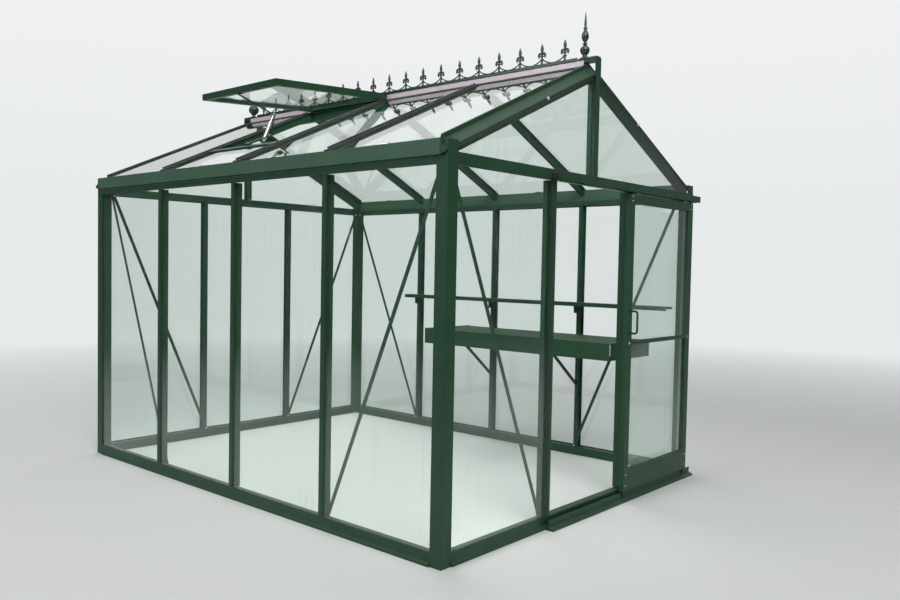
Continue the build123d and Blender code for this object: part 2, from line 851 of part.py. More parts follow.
save("bench_apron", *bench_apron())
save("bench_slats", *bench_slats())
save("bench_brackets", *bench_brackets())
save("wall_shelf", wall_shelf())
save("shelf_brackets", *shelf_brackets())


# Sliding door, shown open in front of the right-hand bay, and its two tracks

track_top = beam_top - track_gap
ledge_top = track_top - track_wall - wheel_headroom - 2 * wheel_radius
door_top = ledge_top - ledge_thick - hanger_rise
door_back = frame_out + door_gap
door_front = door_back + door_thick
door_mid = (door_back + door_front) / 2
door_width = bay + door_overlap
doorway = (door_left + door_right) / 2
door_centre = doorway + bay - door_short
door_x0 = door_centre - door_width / 2
door_x1 = door_centre + door_width / 2
track_start = doorway - door_width / 2 - track_past
track_end = half + frame_out


def head_track():
    """Hooded track: back plate, hood, front fascia and the ledge that the wheels roll on."""
    near, far = frame_out + seat, frame_out + seat + track_depth
    hood = rect(-far, -near, track_top - track_wall, track_top)
    back = rect(-near - track_wall, -near, ledge_top - ledge_thick, track_top)
    fascia = rect(-far, -far + track_wall, track_top - track_fascia, track_top)
    ledge = rect(-near - ledge_reach, -near, ledge_top - ledge_thick, ledge_top)
    section = hood + back + fascia + ledge
    profile = Plane(origin=(track_start, 0, 0), x_dir=(0, 1, 0), z_dir=(1, 0, 0)) * section
    return extrude(profile, amount=track_end - track_start)


def floor_track():
    """Sloping threshold in front of the sill with an upright guide rib."""
    near = frame_out + sill_nose + seat
    far = frame_out + floor_track_reach
    rib0, rib1 = door_mid - guide_rib / 2, door_mid + guide_rib / 2
    rib_top = door_bottom - rib_gap
    section = Polygon((-near, 0), (-near, threshold_back), (-rib0, threshold_back), (-rib0, rib_top),
                      (-rib1, rib_top), (-rib1, threshold_back), (-far, threshold_front), (-far, 0), align=None)
    profile = Plane(origin=(track_start, 0, 0), x_dir=(0, 1, 0), z_dir=(1, 0, 0)) * section
    return extrude(profile, amount=track_end - track_start)


def door_stiles():
    """Two uprights of the door, grooved for the glass. The left one carries the pull."""
    section = rect(0, stile_face, -door_front, -door_back)
    section -= rect(stile_face - door_groove, stile_face, -door_mid - groove_half, -door_mid + groove_half)
    left = Pos(door_x0, 0, door_bottom) * extrude(section, amount=door_top - door_bottom)
    return left, mirror(left, about=Plane.YZ.offset(door_centre))


def door_rail(low, high, groove_below, groove_above):
    """Cross rail between the stiles, grooved where it holds glass."""
    section = rect(-door_front, -door_back, low, high)
    if groove_below:
        section -= rect(-door_mid - groove_half, -door_mid + groove_half, low, low + rail_groove)
    if groove_above:
        section -= rect(-door_mid - groove_half, -door_mid + groove_half, high - rail_groove, high)
    start = door_x0 + stile_face + seat
    profile = Plane(origin=(start, 0, 0), x_dir=(0, 1, 0), z_dir=(1, 0, 0)) * section
    return extrude(profile, amount=door_width - 2 * (stile_face + seat))


def door_glass():
    """Panes below and above the middle rail, each held in the grooves around it."""
    inset = stile_face - door_groove + seat
    bite = rail_groove - seat
    kick_top = door_bottom + kick_height
    front, back = -door_mid - glass / 2, -door_mid + glass / 2
    x0, x1 = door_x0 + inset, door_x1 - inset
    upper = block(x0, x1, front, back, mid_rail_place + mid_rail - bite, door_top - top_rail + bite)
    lower = block(x0, x1, front, back, kick_top - bite, mid_rail_place + bite)
    return lower, upper


def door_handle():
    """D-shaped pull of eight-sided bar on the leading stile, with a sixteen-sided rose at each end."""
    x = door_x0 + stile_face / 2
    face = -door_front - seat
    out = -door_front - handle_reach
    low, high = handle_place - handle_length / 2, handle_place + handle_length / 2
    path = FilletPolyline((x, face, high), (x, out, high), (x, out, low), (x, face, low), radius=handle_radius * 2)
    bar_end = Plane(origin=(x, face, high), z_dir=(0, -1, 0)) * RegularPolygon(handle_radius, 8)
    grip = sweep(bar_end, path=path)
    rose = extrude(Plane.XZ * RegularPolygon(handle_radius * 1.8, 16), amount=rose_thick / 2, both=True)
    return grip + Pos(x, face - rose_thick / 2, low) * rose + Pos(x, face - rose_thick / 2, high) * rose


def door_runner(x):
    """Hanger with its wheel on the ledge of the head track."""
    wheel_place = frame_out + wheel_inset
    axle_z = ledge_top + seat + wheel_radius
    plate_back = frame_out + seat + ledge_reach + hanger_gap
    plate_front = plate_back + ledge_thick
    low = door_top + seat
    foot = block(x - runner_half, x + runner_half, -door_front, -door_back, low, low + ledge_thick)
    plate = block(x - hanger_half, x + hanger_half, -plate_front, -plate_back, low, axle_z + 2 * axle_radius)
    across = Pos(x, 0, axle_z) * Rot(90, 0, 0)
    axle = across * Pos(0, 0, (plate_back + wheel_place) / 2) * Cylinder(axle_radius, plate_back - wheel_place)
    wheel = across * Pos(0, 0, wheel_place) * Cylinder(wheel_radius, wheel_width)
    return foot + plate + axle + wheel


def door_shoe(x):
    """Foot of the door: two cheeks that straddle the guide rib."""
    near = guide_rib / 2 + shoe_gap
    cheek = rect(x - shoe_half, x + shoe_half, near, near + shoe_cheek)
    cheeks = extrude(Pos(0, 0, shoe_bottom) * (cheek + mirror(cheek, about=Plane.XZ)),
                     amount=door_bottom - seat - shoe_bottom)
    return (Pos(0, -door_mid, 0) * cheeks).solids()


shoes = door_shoe(door_x0 + shoe_inset) + door_shoe(door_x1 - shoe_inset)
runner_places = [door_x0 + runner_inset, door_x1 - runner_inset]
save("door_head_track", head_track())
save("door_floor_track", floor_track())
save("door_stiles", *door_stiles())
save("door_top_rail", door_rail(door_top - top_rail, door_top, True, False))
save("door_mid_rail", door_rail(mid_rail_place, mid_rail_place + mid_rail, True, True))
save("door_kick_panel", door_rail(door_bottom, door_bottom + kick_height, False, True))
save("door_glass", *door_glass())
save("door_handle", door_handle())
save("door_runners", *[door_runner(x) for x in runner_places])
save("door_shoes", *shoes)
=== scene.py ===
# %% [markdown]
# # Dressing an aluminium greenhouse
# The bars, panes, gutters, tracks and door come ready made, each at its real size and place.
# This lesson gives them their finishes and adds what a metalworker fits last: castings, rubber,
# screws, clips, brushes and the working parts of the roof vent.
# A frame could be modelled again in Blender, but then two sets of sizes would drift apart. So the
# loaded pieces keep their shape, and only new pieces are made here.

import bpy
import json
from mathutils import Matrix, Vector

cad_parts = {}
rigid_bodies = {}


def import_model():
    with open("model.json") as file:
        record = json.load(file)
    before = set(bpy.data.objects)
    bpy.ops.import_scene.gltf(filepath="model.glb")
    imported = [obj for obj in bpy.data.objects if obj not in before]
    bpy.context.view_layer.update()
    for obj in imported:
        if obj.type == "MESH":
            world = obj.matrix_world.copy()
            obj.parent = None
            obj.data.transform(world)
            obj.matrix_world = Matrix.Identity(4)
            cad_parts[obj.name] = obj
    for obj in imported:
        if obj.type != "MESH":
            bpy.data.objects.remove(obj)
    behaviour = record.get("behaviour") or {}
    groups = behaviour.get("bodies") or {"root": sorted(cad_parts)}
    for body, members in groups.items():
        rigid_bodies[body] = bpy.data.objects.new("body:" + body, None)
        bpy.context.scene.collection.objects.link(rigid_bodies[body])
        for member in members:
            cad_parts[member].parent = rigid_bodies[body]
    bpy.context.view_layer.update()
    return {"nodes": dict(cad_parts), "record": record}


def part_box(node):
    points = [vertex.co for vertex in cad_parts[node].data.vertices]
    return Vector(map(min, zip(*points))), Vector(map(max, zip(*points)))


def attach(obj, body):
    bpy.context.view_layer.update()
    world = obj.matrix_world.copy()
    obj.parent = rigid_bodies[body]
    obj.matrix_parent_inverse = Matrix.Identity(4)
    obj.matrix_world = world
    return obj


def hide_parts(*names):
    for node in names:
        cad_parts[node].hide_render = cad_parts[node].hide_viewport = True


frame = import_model()

# %% Modules
import json
from math import cos, pi, radians, sin, tan

import bmesh
import bpy
from mathutils import Matrix, Vector

# %% [markdown]
# ## Sizes that everything else follows
# A greenhouse is set out from the centre lines of its bars. Typing those numbers again for every
# screw would hide mistakes, so they are read once from the corner posts, the ridge and the rails,
# and the few section sizes that no box tells are named here, in metres.

# %% House sizes
frame_out, post_in, glass_face = 0.030, 0.035, 0.0237
mullion_half, jamb_half, king_half = 0.015, 0.0225, 0.020
seat, glass_thick = 0.0003, 0.004
pitch = radians(24.5)
ridge_rise, glass_foot = 0.033, 0.012
nose_front, nose_low, rim_back = 0.026, 0.046, 0.042
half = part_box("corner_posts")[1].x - frame_out
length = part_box("corner_posts")[1].y - frame_out
bay = 2 * half / 3
sill_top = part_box("front_sill")[1].z
beam_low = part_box("side_mullions")[1].z + seat
rail_low, rail_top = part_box("gable_rails")[0].z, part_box("gable_rails")[1].z
ridge_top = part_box("ridge_beam")[1].z
apex = ridge_top - ridge_rise
print(f"half width {half:.4f}, length {length:.4f}, bay {bay:.4f}, apex {apex:.4f}")

# %% [markdown]
# ## Small helpers for node trees
# Every material and every Geometry Nodes tree is a set of nodes with values and links. One helper
# that adds a node and fills its inputs keeps those cells short enough to read.

# %% Node helpers
def put(tree, kind, inputs=None, **settings):
    """Add a node with its settings, and give its inputs values or links."""
    node = tree.nodes.new(kind)
    for key, value in settings.items():
        setattr(node, key, value)
    for key, value in (inputs or {}).items():
        if isinstance(value, bpy.types.NodeSocket):
            tree.links.new(value, node.inputs[key])
        else:
            node.inputs[key].default_value = value
    return node


def socket(group, label, kind, value=None, way="INPUT"):
    item = group.interface.new_socket(label, in_out=way, socket_type="NodeSocket" + kind)
    if value is not None:
        item.default_value = value
    return item


def mix_colour(tree, factor, first, second):
    node = put(tree, "ShaderNodeMix", {0: factor, 6: first, 7: second}, data_type="RGBA")
    return node.outputs[2]


def remap(tree, value, low, high, to_low=0.0, to_high=1.0):
    node = put(tree, "ShaderNodeMapRange", {"Value": value, "From Min": low, "From Max": high,
                                            "To Min": to_low, "To Max": to_high})
    return node.outputs["Result"]


def maths(tree, operation, first, second):
    return put(tree, "ShaderNodeMath", {0: first, 1: second}, operation=operation).outputs[0]


def times(tree, first, second):
    return maths(tree, "MULTIPLY", first, second)


def plus(tree, first, second):
    return maths(tree, "ADD", first, second)


def sockets(tree, way="INPUT"):
    return [item for item in tree.interface.items_tree if item.in_out == way]


def object_coords(tree, stretch=None):
    """Object coordinates in metres, scaled along each axis where stretch is given."""
    coords = put(tree, "ShaderNodeTexCoord").outputs["Object"]
    if stretch is None:
        return coords
    return put(tree, "ShaderNodeMapping", {"Vector": coords, "Scale": stretch}).outputs[0]


def noise(tree, coords, scale, detail, rough=0.5):
    return put(tree, "ShaderNodeTexNoise", {"Vector": coords, "Scale": scale, "Detail": detail,
                                            "Roughness": rough}).outputs["Fac"]


def bump(tree, height, strength, distance):
    return put(tree, "ShaderNodeBump", {"Height": height, "Strength": strength,
                                        "Distance": distance})

# %% [markdown]
# ## Weather, as one node group
# Paint, glass and rubber outdoors age in the same three ways: a soft mottle, thin runs that rain
# leaves down the uprights, and dust that settles on whatever faces the sky. Each could be drawn in
# every material, but a group keeps them alike. It puts out three masks and no colour, so each
# finish decides what the weather does to it. It reads Object coordinates, in metres.

# %% Weather marks group
def build_weather():
    group = bpy.data.node_groups.new("weather_marks", "ShaderNodeTree")
    socket(group, "Mottle Scale", "Float", 6.0)
    socket(group, "Run Width", "Float", 70.0)
    for label in ("Mottle", "Runs", "Dust"):
        socket(group, label, "Float", way="OUTPUT")
    given, result = put(group, "NodeGroupInput"), put(group, "NodeGroupOutput")
    coords = object_coords(group)
    cloud = noise(group, coords, given.outputs["Mottle Scale"], 6.0, 0.62)
    mottle = remap(group, cloud, 0.34, 0.68)
    tall = object_coords(group, (1.0, 1.0, 0.035))
    lines = noise(group, tall, given.outputs["Run Width"], 3.0)
    runs = times(group, remap(group, lines, 0.52, 0.78), mottle)
    normal = put(group, "ShaderNodeNewGeometry").outputs["Normal"]
    facing = put(group, "ShaderNodeSeparateXYZ", {0: normal})
    upward = remap(group, facing.outputs["Z"], 0.25, 0.98)
    specks = noise(group, coords, 240.0, 4.0)
    dust = times(group, upward, remap(group, specks, 0.36, 0.66, 0.35, 1.0))
    for label, value in (("Mottle", mottle), ("Runs", runs), ("Dust", dust)):
        group.links.new(value, result.inputs[label])
    return group


weather = build_weather()
print("weather masks", [item.name for item in sockets(weather, "OUTPUT")])

# %% [markdown]
# ## Powder coat
# The frame is aluminium with a baked dark green powder coat. Seen close, such a coat has an orange
# peel of about half a millimetre, is glossy where it is new and chalky where sun and rain reach it.
# A flat green would look like plastic, so colour, roughness and height all come from this group.

# %% Powder coat group
def build_powder_coat():
    group = bpy.data.node_groups.new("powder_coat", "ShaderNodeTree")
    socket(group, "Colour", "Color", (0.03, 0.08, 0.05, 1))
    socket(group, "Bleached", "Color", (0.06, 0.12, 0.09, 1))
    socket(group, "Dirt", "Color", (0.20, 0.19, 0.15, 1))
    for label in ("Mottle", "Runs", "Dust"):
        socket(group, label, "Float", 0.0)
    socket(group, "Peel Scale", "Float", 900.0)
    socket(group, "Gloss", "Float", 0.34)
    socket(group, "Color", "Color", way="OUTPUT")
    socket(group, "Roughness", "Float", way="OUTPUT")
    socket(group, "Height", "Float", way="OUTPUT")
    given, result = put(group, "NodeGroupInput").outputs, put(group, "NodeGroupOutput")
    coords = object_coords(group)
    faded = mix_colour(group, times(group, given["Mottle"], 0.55), given["Colour"],
                       given["Bleached"])
    streaked = mix_colour(group, times(group, given["Runs"], 0.16), faded, given["Dirt"])
    colour = mix_colour(group, times(group, given["Dust"], 0.22), streaked, given["Dirt"])
    scuffs = noise(group, coords, 35.0, 8.0, 0.7)
    rough = plus(group, given["Gloss"], remap(group, scuffs, 0.35, 0.7, -0.05, 0.10))
    rough = plus(group, rough, times(group, given["Dust"], 0.25))
    rough = plus(group, rough, times(group, given["Runs"], 0.18))
    peel = noise(group, coords, given["Peel Scale"], 2.0)
    for label, value in (("Color", colour), ("Roughness", rough), ("Height", peel)):
        group.links.new(value, result.inputs[label])
    return group


powder_coat = build_powder_coat()
print("powder coat inputs", len(sockets(powder_coat)))

# %% [markdown]
# ## The paint itself
# Extruded bars have crisp but never razor-sharp edges. The Bevel node rounds them for the light
# alone, by about a millimetre, which leaves the loaded meshes as they are. Castings are painted in
# the same green, with a coarser skin, and the gutters get a paler green that is painted sheen,
# standing in for the sun and sky on their faces, so one function makes all three coats from
# different values.

# %% Painted metal
def surface(name):
    """An empty material with its output and one Principled shader."""
    made = bpy.data.materials.new(name)
    made.use_nodes = True
    tree = made.node_tree
    tree.nodes.clear()
    shader = put(tree, "ShaderNodeBsdfPrincipled")
    out = put(tree, "ShaderNodeOutputMaterial", {"Surface": shader.outputs[0]})
    return made, tree, shader, out


def marks_for(tree, mottle_scale, run_width):
    """The three weather masks, at the scale that suits a finish."""
    return put(tree, "ShaderNodeGroup", {"Mottle Scale": mottle_scale, "Run Width": run_width},
               node_tree=weather).outputs


def dress(tree, shader, colour, rough, normal):
    """Link what varies over every finish."""
    for label, value in (("Base Color", colour), ("Roughness", rough), ("Normal", normal)):
        tree.links.new(value, shader.inputs[label])


def painted_metal(name, colour, bleached, gloss, peel, depth, edge, shine):
    made, tree, shader, _ = surface(name)
    marks = marks_for(tree, 5.0, 80.0)
    coat = put(tree, "ShaderNodeGroup", {
        "Colour": colour, "Bleached": bleached, "Dirt": grime, "Peel Scale": peel, "Gloss": gloss,
        "Mottle": marks["Mottle"], "Runs": marks["Runs"], "Dust": marks["Dust"]},
        node_tree=powder_coat).outputs
    soft_edge = put(tree, "ShaderNodeBevel", {"Radius": edge}, samples=4)
    skin = bump(tree, coat["Height"], depth, 0.0004)
    tree.links.new(soft_edge.outputs[0], skin.inputs["Normal"])
    dress(tree, shader, coat["Color"], coat["Roughness"], skin.outputs[0])
    shader.inputs["Specular IOR Level"].default_value = shine
    shader.inputs["Coat Weight"].default_value = 0.03
    shader.inputs["Coat Roughness"].default_value = 0.22
    return made


fir, fir_faded = (0.013, 0.052, 0.025, 1), (0.022, 0.068, 0.038, 1)
# Paler greens for the gutters: painted sheen for the light on their faces, not a change of paint.
fir_painted_sheen, fir_painted_sheen_mottle = (0.042, 0.098, 0.062, 1), (0.060, 0.122, 0.080, 1)
fir_cast = (0.012, 0.046, 0.024, 1)
grime = (0.100, 0.105, 0.082, 1)
frame_green = painted_metal("frame_green", fir, fir_faded, 0.38, 900.0, 0.16, 0.0014, 0.25)
cast_green = painted_metal("cast_green", fir_cast, fir_faded, 0.22, 420.0, 0.35, 0.0008, 0.60)
# Gutter coat: its paler greens are painted sheen, lighter for the sun and sky on the gutters.
eaves_green = painted_metal("eaves_green", fir_painted_sheen, fir_painted_sheen_mottle, 0.42, 900.0, 0.16, 0.0014,
                            0.25)
print("paint", frame_green.name, cast_green.name, eaves_green.name)

# %% [markdown]
# ## Glass
# Horticultural glass is 4 mm float, faintly green, with cut edges, a little waviness, and a film of
# dried rain near its lower end. One Principled shader gives all of that. A solid pane would also
# throw a black shadow in a path tracer, because bent light is hard to find, so the shadow ray alone
# sees a plain tinted transparency.

# %% Clear glass
def pane_glass(name, tint, film, ripple):
    made, tree, shader, out = surface(name)
    marks = marks_for(tree, 2.2, 55.0)
    stain = times(tree, marks["Runs"], marks["Mottle"])
    colour = mix_colour(tree, times(tree, stain, 0.5), tint, film)
    bend = bump(tree, noise(tree, object_coords(tree), 2.6, 1.0), ripple, 0.01)
    dress(tree, shader, colour, remap(tree, stain, 0.0, 1.0, 0.004, 0.14), bend.outputs[0])
    shader.inputs["Transmission Weight"].default_value = 1.0
    shader.inputs["IOR"].default_value = 1.5
    rays = put(tree, "ShaderNodeLightPath")
    clear = put(tree, "ShaderNodeBsdfTransparent", {"Color": (0.94, 0.975, 0.955, 1)})
    both = put(tree, "ShaderNodeMixShader", {0: rays.outputs["Is Shadow Ray"], 1: shader.outputs[0],
                                             2: clear.outputs[0]})
    tree.links.new(both.outputs[0], out.inputs["Surface"])
    return made


clear_glass = pane_glass("clear_glass", (0.93, 0.975, 0.95, 1), (0.72, 0.75, 0.70, 1), 0.03)
print("glass", clear_glass.name)

# %% [markdown]
# ## Rubber and bare metals
# The smaller parts have finishes of their own: black rubber that holds the panes, the pile of the
# brush seals, mill-finish aluminium with fine drawn lines on clips and the opener, zinc-plated
# steel on screws, and a dull and a dark aluminium for the strips on the roof. Rubber is matt with
# a grey bloom. Metals get their life from roughness, so each has its own lines or grain.

# %% Rubber and metals
def rubber(name, colour, bloom, gloss):
    made, tree, shader, _ = surface(name)
    marks = marks_for(tree, 14.0, 90.0)
    bloomed = plus(tree, times(tree, marks["Mottle"], 0.35), times(tree, marks["Dust"], 0.3))
    skin = bump(tree, noise(tree, object_coords(tree), 1400.0, 2.0), 0.25, 0.0003)
    dress(tree, shader, mix_colour(tree, bloomed, colour, bloom),
          remap(tree, marks["Mottle"], 0.0, 1.0, gloss, gloss + 0.2), skin.outputs[0])
    return made


def bare_metal(name, colour, dull, gloss, stretch, metallic=1.0):
    made, tree, shader, _ = surface(name)
    lines = noise(tree, object_coords(tree, stretch), 800.0, 3.0)
    marks = marks_for(tree, 30.0, 90.0)
    rough = plus(tree, remap(tree, lines, 0.3, 0.7, gloss - 0.06, gloss + 0.1),
                 times(tree, marks["Dust"], 0.15))
    dress(tree, shader, mix_colour(tree, times(tree, marks["Mottle"], 0.6), colour, dull), rough,
          bump(tree, lines, 0.12, 0.0002).outputs[0])
    shader.inputs["Metallic"].default_value = metallic
    return made


bright, drawn_along, any_way = (0.82, 0.83, 0.84, 1), (1, 0.02, 1), (1, 1, 1)
black_rubber = rubber("black_rubber", (0.012, 0.013, 0.013, 1), (0.055, 0.058, 0.055, 1), 0.5)
brush_pile = rubber("brush_pile", (0.03, 0.03, 0.03, 1), (0.09, 0.09, 0.085, 1), 0.7)
mill_aluminium = bare_metal("mill_aluminium", bright, (0.60, 0.61, 0.61, 1), 0.30, (1, 0.04, 1))
zinc = bare_metal("zinc", bright, (0.60, 0.60, 0.59, 1), 0.42, any_way)
pewter, pewter_dull = (0.76, 0.65, 0.73, 1), (0.62, 0.53, 0.60, 1)
slate, slate_dull = (0.17, 0.155, 0.18, 1), (0.10, 0.09, 0.11, 1)
dull_aluminium = bare_metal("dull_aluminium", pewter, pewter_dull, 0.46, drawn_along, 0.30)
dark_aluminium = bare_metal("dark_aluminium", slate, slate_dull, 0.42, drawn_along)
print("small finishes", black_rubber.name, brush_pile.name, mill_aluminium.name, zinc.name,
      dull_aluminium.name, dark_aluminium.name)

# %% [markdown]
# ## Finishes on the loaded pieces
# Each loaded piece already names its material slot in the record. The finish is chosen from that,
# so a piece added to the model later would not stay grey. The gutters alone get the paler coat, a
# painted sheen that stands in for the sun and sky light on their faces.

# %% Dress the loaded pieces
slot_finish = {"green_paint": frame_green, "clear_glass": clear_glass, "bare_metal": mill_aluminium,
               "black_plastic": black_rubber}
# The gutters' paler coat is painted sheen.
own_finish = {"gutters": eaves_green}
for entry in frame["record"]["subparts"]:
    piece = frame["nodes"][entry["node"]]
    finish = own_finish.get(entry["node"], slot_finish[entry["material_slot"]])
    if not piece.material_slots:
        piece.data.materials.append(finish)
    for place in piece.material_slots:
        place.material = finish

# %% [markdown]
# ## Mesh helpers
# New pieces are made with bmesh, which can build, bevel and check a shape before it becomes an
# object. All points are written where the piece really is, so its object stays at the origin.

# %% Mesh helpers
def in_scene(name, data):
    """A new object with this data, linked to the scene."""
    made = bpy.data.objects.new(name, data)
    bpy.context.scene.collection.objects.link(made)
    return made


def as_object(name, bm, smooth=False):
    """A bmesh, with its faces turned outwards, becomes an object at the origin."""
    bmesh.ops.recalc_face_normals(bm, faces=bm.faces)
    mesh = bpy.data.meshes.new(name)
    bm.to_mesh(mesh)
    bm.free()
    for face in mesh.polygons:
        face.use_smooth = smooth
    return in_scene(name, mesh)


def fit(piece, finish, body):
    """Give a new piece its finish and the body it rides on."""
    piece.data.materials.append(finish)
    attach(piece, body)
    print(piece.name, "faces", len(piece.data.polygons))


def turned_to(place, x_axis, y_axis, z_axis):
    """Matrix that carries a shape to a place, with its axes turned to the given ones."""
    return Matrix.Translation(place) @ Matrix((x_axis, y_axis, z_axis)).transposed().to_4x4()


def slab(bm, low, high, soft, turn=None):
    """A block between two corners with soft edges, turned by a matrix."""
    low, high = Vector(low), Vector(high)
    made = bmesh.ops.create_cube(bm, size=1.0)["verts"]
    size = high - low
    for vert in made:
        vert.co = Vector(c * s for c, s in zip(vert.co, size)) + (low + high) / 2
    edges = list({edge for vert in made for edge in vert.link_edges})
    cut = bmesh.ops.bevel(bm, geom=edges, offset=soft, segments=2, profile=0.6, affect="EDGES")
    verts = {vert for face in cut["faces"] for vert in face.verts} | {v for v in made if v.is_valid}
    if turn is not None:
        bmesh.ops.transform(bm, matrix=turn, verts=list(verts))


def ring_tube(bm, rings):
    """Skin a list of rings of points, with flat ends."""
    loops = [[bm.verts.new(point) for point in ring] for ring in rings]
    count = len(loops[0])
    for first, second in zip(loops, loops[1:]):
        for i in range(count):
            j = (i + 1) % count
            bm.faces.new((first[i], first[j], second[j], second[i]))
    bm.faces.new(loops[0])
    bm.faces.new(list(reversed(loops[-1])))


def circle(radius, height, steps):
    """Points of a level circle round the Z axis."""
    angles = [2 * pi * i / steps for i in range(steps)]
    return [Vector((radius * cos(a), radius * sin(a), height)) for a in angles]


def turned_shape(bm, outline, centre, steps=40):
    """A lathe-turned shape from (radius, height) pairs, standing at centre."""
    ring_tube(bm, [[centre + spoke for spoke in circle(radius, height, steps)]
                   for radius, height in outline])


def round_bar(bm, path, radius, sides=12):
    """A round bar along a path of points, its rings carried along the path without a twist."""
    rings, before, turn = [], None, None
    for i, point in enumerate(path):
        way = path[min(i + 1, len(path) - 1)] - path[max(i - 1, 0)]
        turn = before.rotation_difference(way) @ turn if turn else way.to_track_quat("Z", "Y")
        before = way
        rings.append([point + turn @ spoke for spoke in circle(radius, 0, sides)])
    ring_tube(bm, rings)


def flowing(points, steps):
    """Points of a smooth curve through the given ones."""
    ends = [points[0]] + list(points) + [points[-1]]
    made = []
    for a, b, c, d in zip(ends, ends[1:], ends[2:], ends[3:]):
        for i in range(steps):
            t = i / steps
            made.append(tuple(
                0.5 * (2 * q + (r - p) * t + (2 * p - 5 * q + 4 * r - s) * t * t
                       + (3 * q - p - 3 * r + s) * t ** 3) for p, q, r, s in zip(a, b, c, d)))
    return made + [tuple(points[-1])]

# %% [markdown]
# ## Three Geometry Nodes trees for the whole house
# Nearly everything small on a greenhouse repeats: rubber follows the edge of every pane, screws sit
# at every joint, castings stand in a row. Placing copies by hand in a loop would work, but a tree
# keeps the rule visible as named inputs. These helpers build a tree, run it once on an object, and
# keep the plain mesh that it makes.

# %% Tree helpers
def new_tree(name, inputs):
    """A Geometry Nodes tree with a geometry input, the named inputs and a geometry output."""
    tree = bpy.data.node_groups.new(name, "GeometryNodeTree")
    socket(tree, "Geometry", "Geometry")
    for label, kind, value in inputs:
        socket(tree, label, kind, value)
    socket(tree, "Geometry", "Geometry", way="OUTPUT")
    return tree, put(tree, "NodeGroupInput").outputs, put(tree, "NodeGroupOutput")


def close_tree(tree, result, geometry, finish, smooth):
    """Every tree ends alike: real geometry, its shading, its material."""
    for kind, more in (("RealizeInstances", {}), ("SetShadeSmooth", {"Shade Smooth": smooth}),
                       ("SetMaterial", {"Material": finish})):
        geometry = put(tree, "GeometryNode" + kind, {"Geometry": geometry, **more}).outputs[0]
    tree.links.new(geometry, result.inputs[0])
    return tree


def run_tree(source, tree, values, body):
    """Run a tree on an object, keep the mesh that it makes, and let it ride on a body."""
    live = source.modifiers.new(tree.name, "NODES")
    live.node_group = tree
    names = {item.name: item.identifier for item in sockets(tree)}
    for label, value in values.items():
        live[names[label]] = value
    depsgraph = bpy.context.evaluated_depsgraph_get()
    mesh = bpy.data.meshes.new_from_object(source.evaluated_get(depsgraph), depsgraph=depsgraph)
    source.modifiers.remove(live)
    source.data = mesh
    mesh.name = source.name
    mesh.materials.clear()
    mesh.materials.append(values["Finish"])
    mesh.polygons.foreach_set("material_index", [0] * len(mesh.polygons))
    bm = bmesh.new()
    bm.from_mesh(mesh)
    bmesh.ops.recalc_face_normals(bm, faces=bm.faces)
    bm.to_mesh(mesh)
    bm.free()
    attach(source, body)
    print(source.name, "triangles", sum(len(f.vertices) - 2 for f in mesh.polygons))
    return source


def line_object(name, lines):
    """Edges only: each line is a list of points and whether it closes."""
    points, edges = [], []
    for line, closed in lines:
        first = len(points)
        points += [tuple(p) for p in line]
        edges += [(first + i, first + i + 1) for i in range(len(line) - 1)]
        if closed:
            edges.append((len(points) - 1, first))
    mesh = bpy.data.meshes.new(name)
    mesh.from_pydata(points, edges, [])
    return in_scene(name, mesh)


def point_object(name, places):
    """Loose points that carry the way each piece faces and its size."""
    mesh = bpy.data.meshes.new(name)
    mesh.from_pydata([tuple(place) for place, _, _ in places], [], [])
    mesh.attributes.new("facing", "FLOAT_VECTOR", "POINT")
    mesh.attributes.new("size", "FLOAT", "POINT")
    for i, (_, way, amount) in enumerate(places):
        mesh.attributes["facing"].data[i].vector = Vector(way).normalized()
        mesh.attributes["size"].data[i].value = amount
    return in_scene(name, mesh)


def bare_object(name):
    """An object with an empty mesh, for trees that make everything themselves."""
    return in_scene(name, bpy.data.meshes.new(name))


def copies(tree, piece, points, **more):
    """An object as instances on points, with what else the node is given."""
    source = put(tree, "GeometryNodeObjectInfo", {"Object": piece, "As Instance": True})
    return put(tree, "GeometryNodeInstanceOnPoints", {
        "Points": points, "Instance": source.outputs["Geometry"], **more}).outputs[0]


def row(tree, given, piece, count):
    """Copies of a piece along the line that the tree's Start and Step inputs give."""
    line = put(tree, "GeometryNodeMeshLine", {"Count": count, "Start Location": given["Start"],
                                              "Offset": given["Step"]}, mode="OFFSET")
    return copies(tree, piece, line.outputs[0])

# %% The three trees
def build_bead_tree():
    tree, given, result = new_tree("bead_along_lines", [
        ("Radius", "Float", 0.002), ("Sides", "Int", 6), ("Finish", "Material", None)])
    path = put(tree, "GeometryNodeMeshToCurve", {"Mesh": given["Geometry"]})
    ring = put(tree, "GeometryNodeCurvePrimitiveCircle", {"Resolution": given["Sides"],
                                                          "Radius": given["Radius"]})
    bead = put(tree, "GeometryNodeCurveToMesh", {
        "Curve": path.outputs[0], "Profile Curve": ring.outputs[0], "Fill Caps": True})
    return close_tree(tree, result, bead.outputs[0], given["Finish"], True)


def build_fitting_tree():
    tree, given, result = new_tree("fittings_on_points", [
        ("Piece", "Object", None), ("Seed", "Int", 3), ("Finish", "Material", None)])
    facing, size = (
        put(tree, "GeometryNodeInputNamedAttribute", {"Name": name}, data_type=kind).outputs[0]
        for name, kind in (("facing", "FLOAT_VECTOR"), ("size", "FLOAT")))
    turn = put(tree, "FunctionNodeAlignRotationToVector", {"Vector": facing}, axis="Z")
    spin = put(tree, "FunctionNodeRandomValue", {2: 0.0, 3: 2 * pi, "Seed": given["Seed"]},
               data_type="FLOAT")
    twist = put(tree, "ShaderNodeCombineXYZ", {"Z": spin.outputs[1]})
    about = put(tree, "FunctionNodeEulerToRotation", {0: twist.outputs[0]})
    whole = put(tree, "FunctionNodeRotateRotation", {"Rotation": turn.outputs[0],
                                                     "Rotate By": about.outputs[0]},
                rotation_space="LOCAL")
    placed = copies(tree, given["Piece"], given["Geometry"], Rotation=whole.outputs[0], Scale=size)
    return close_tree(tree, result, placed, given["Finish"], False)


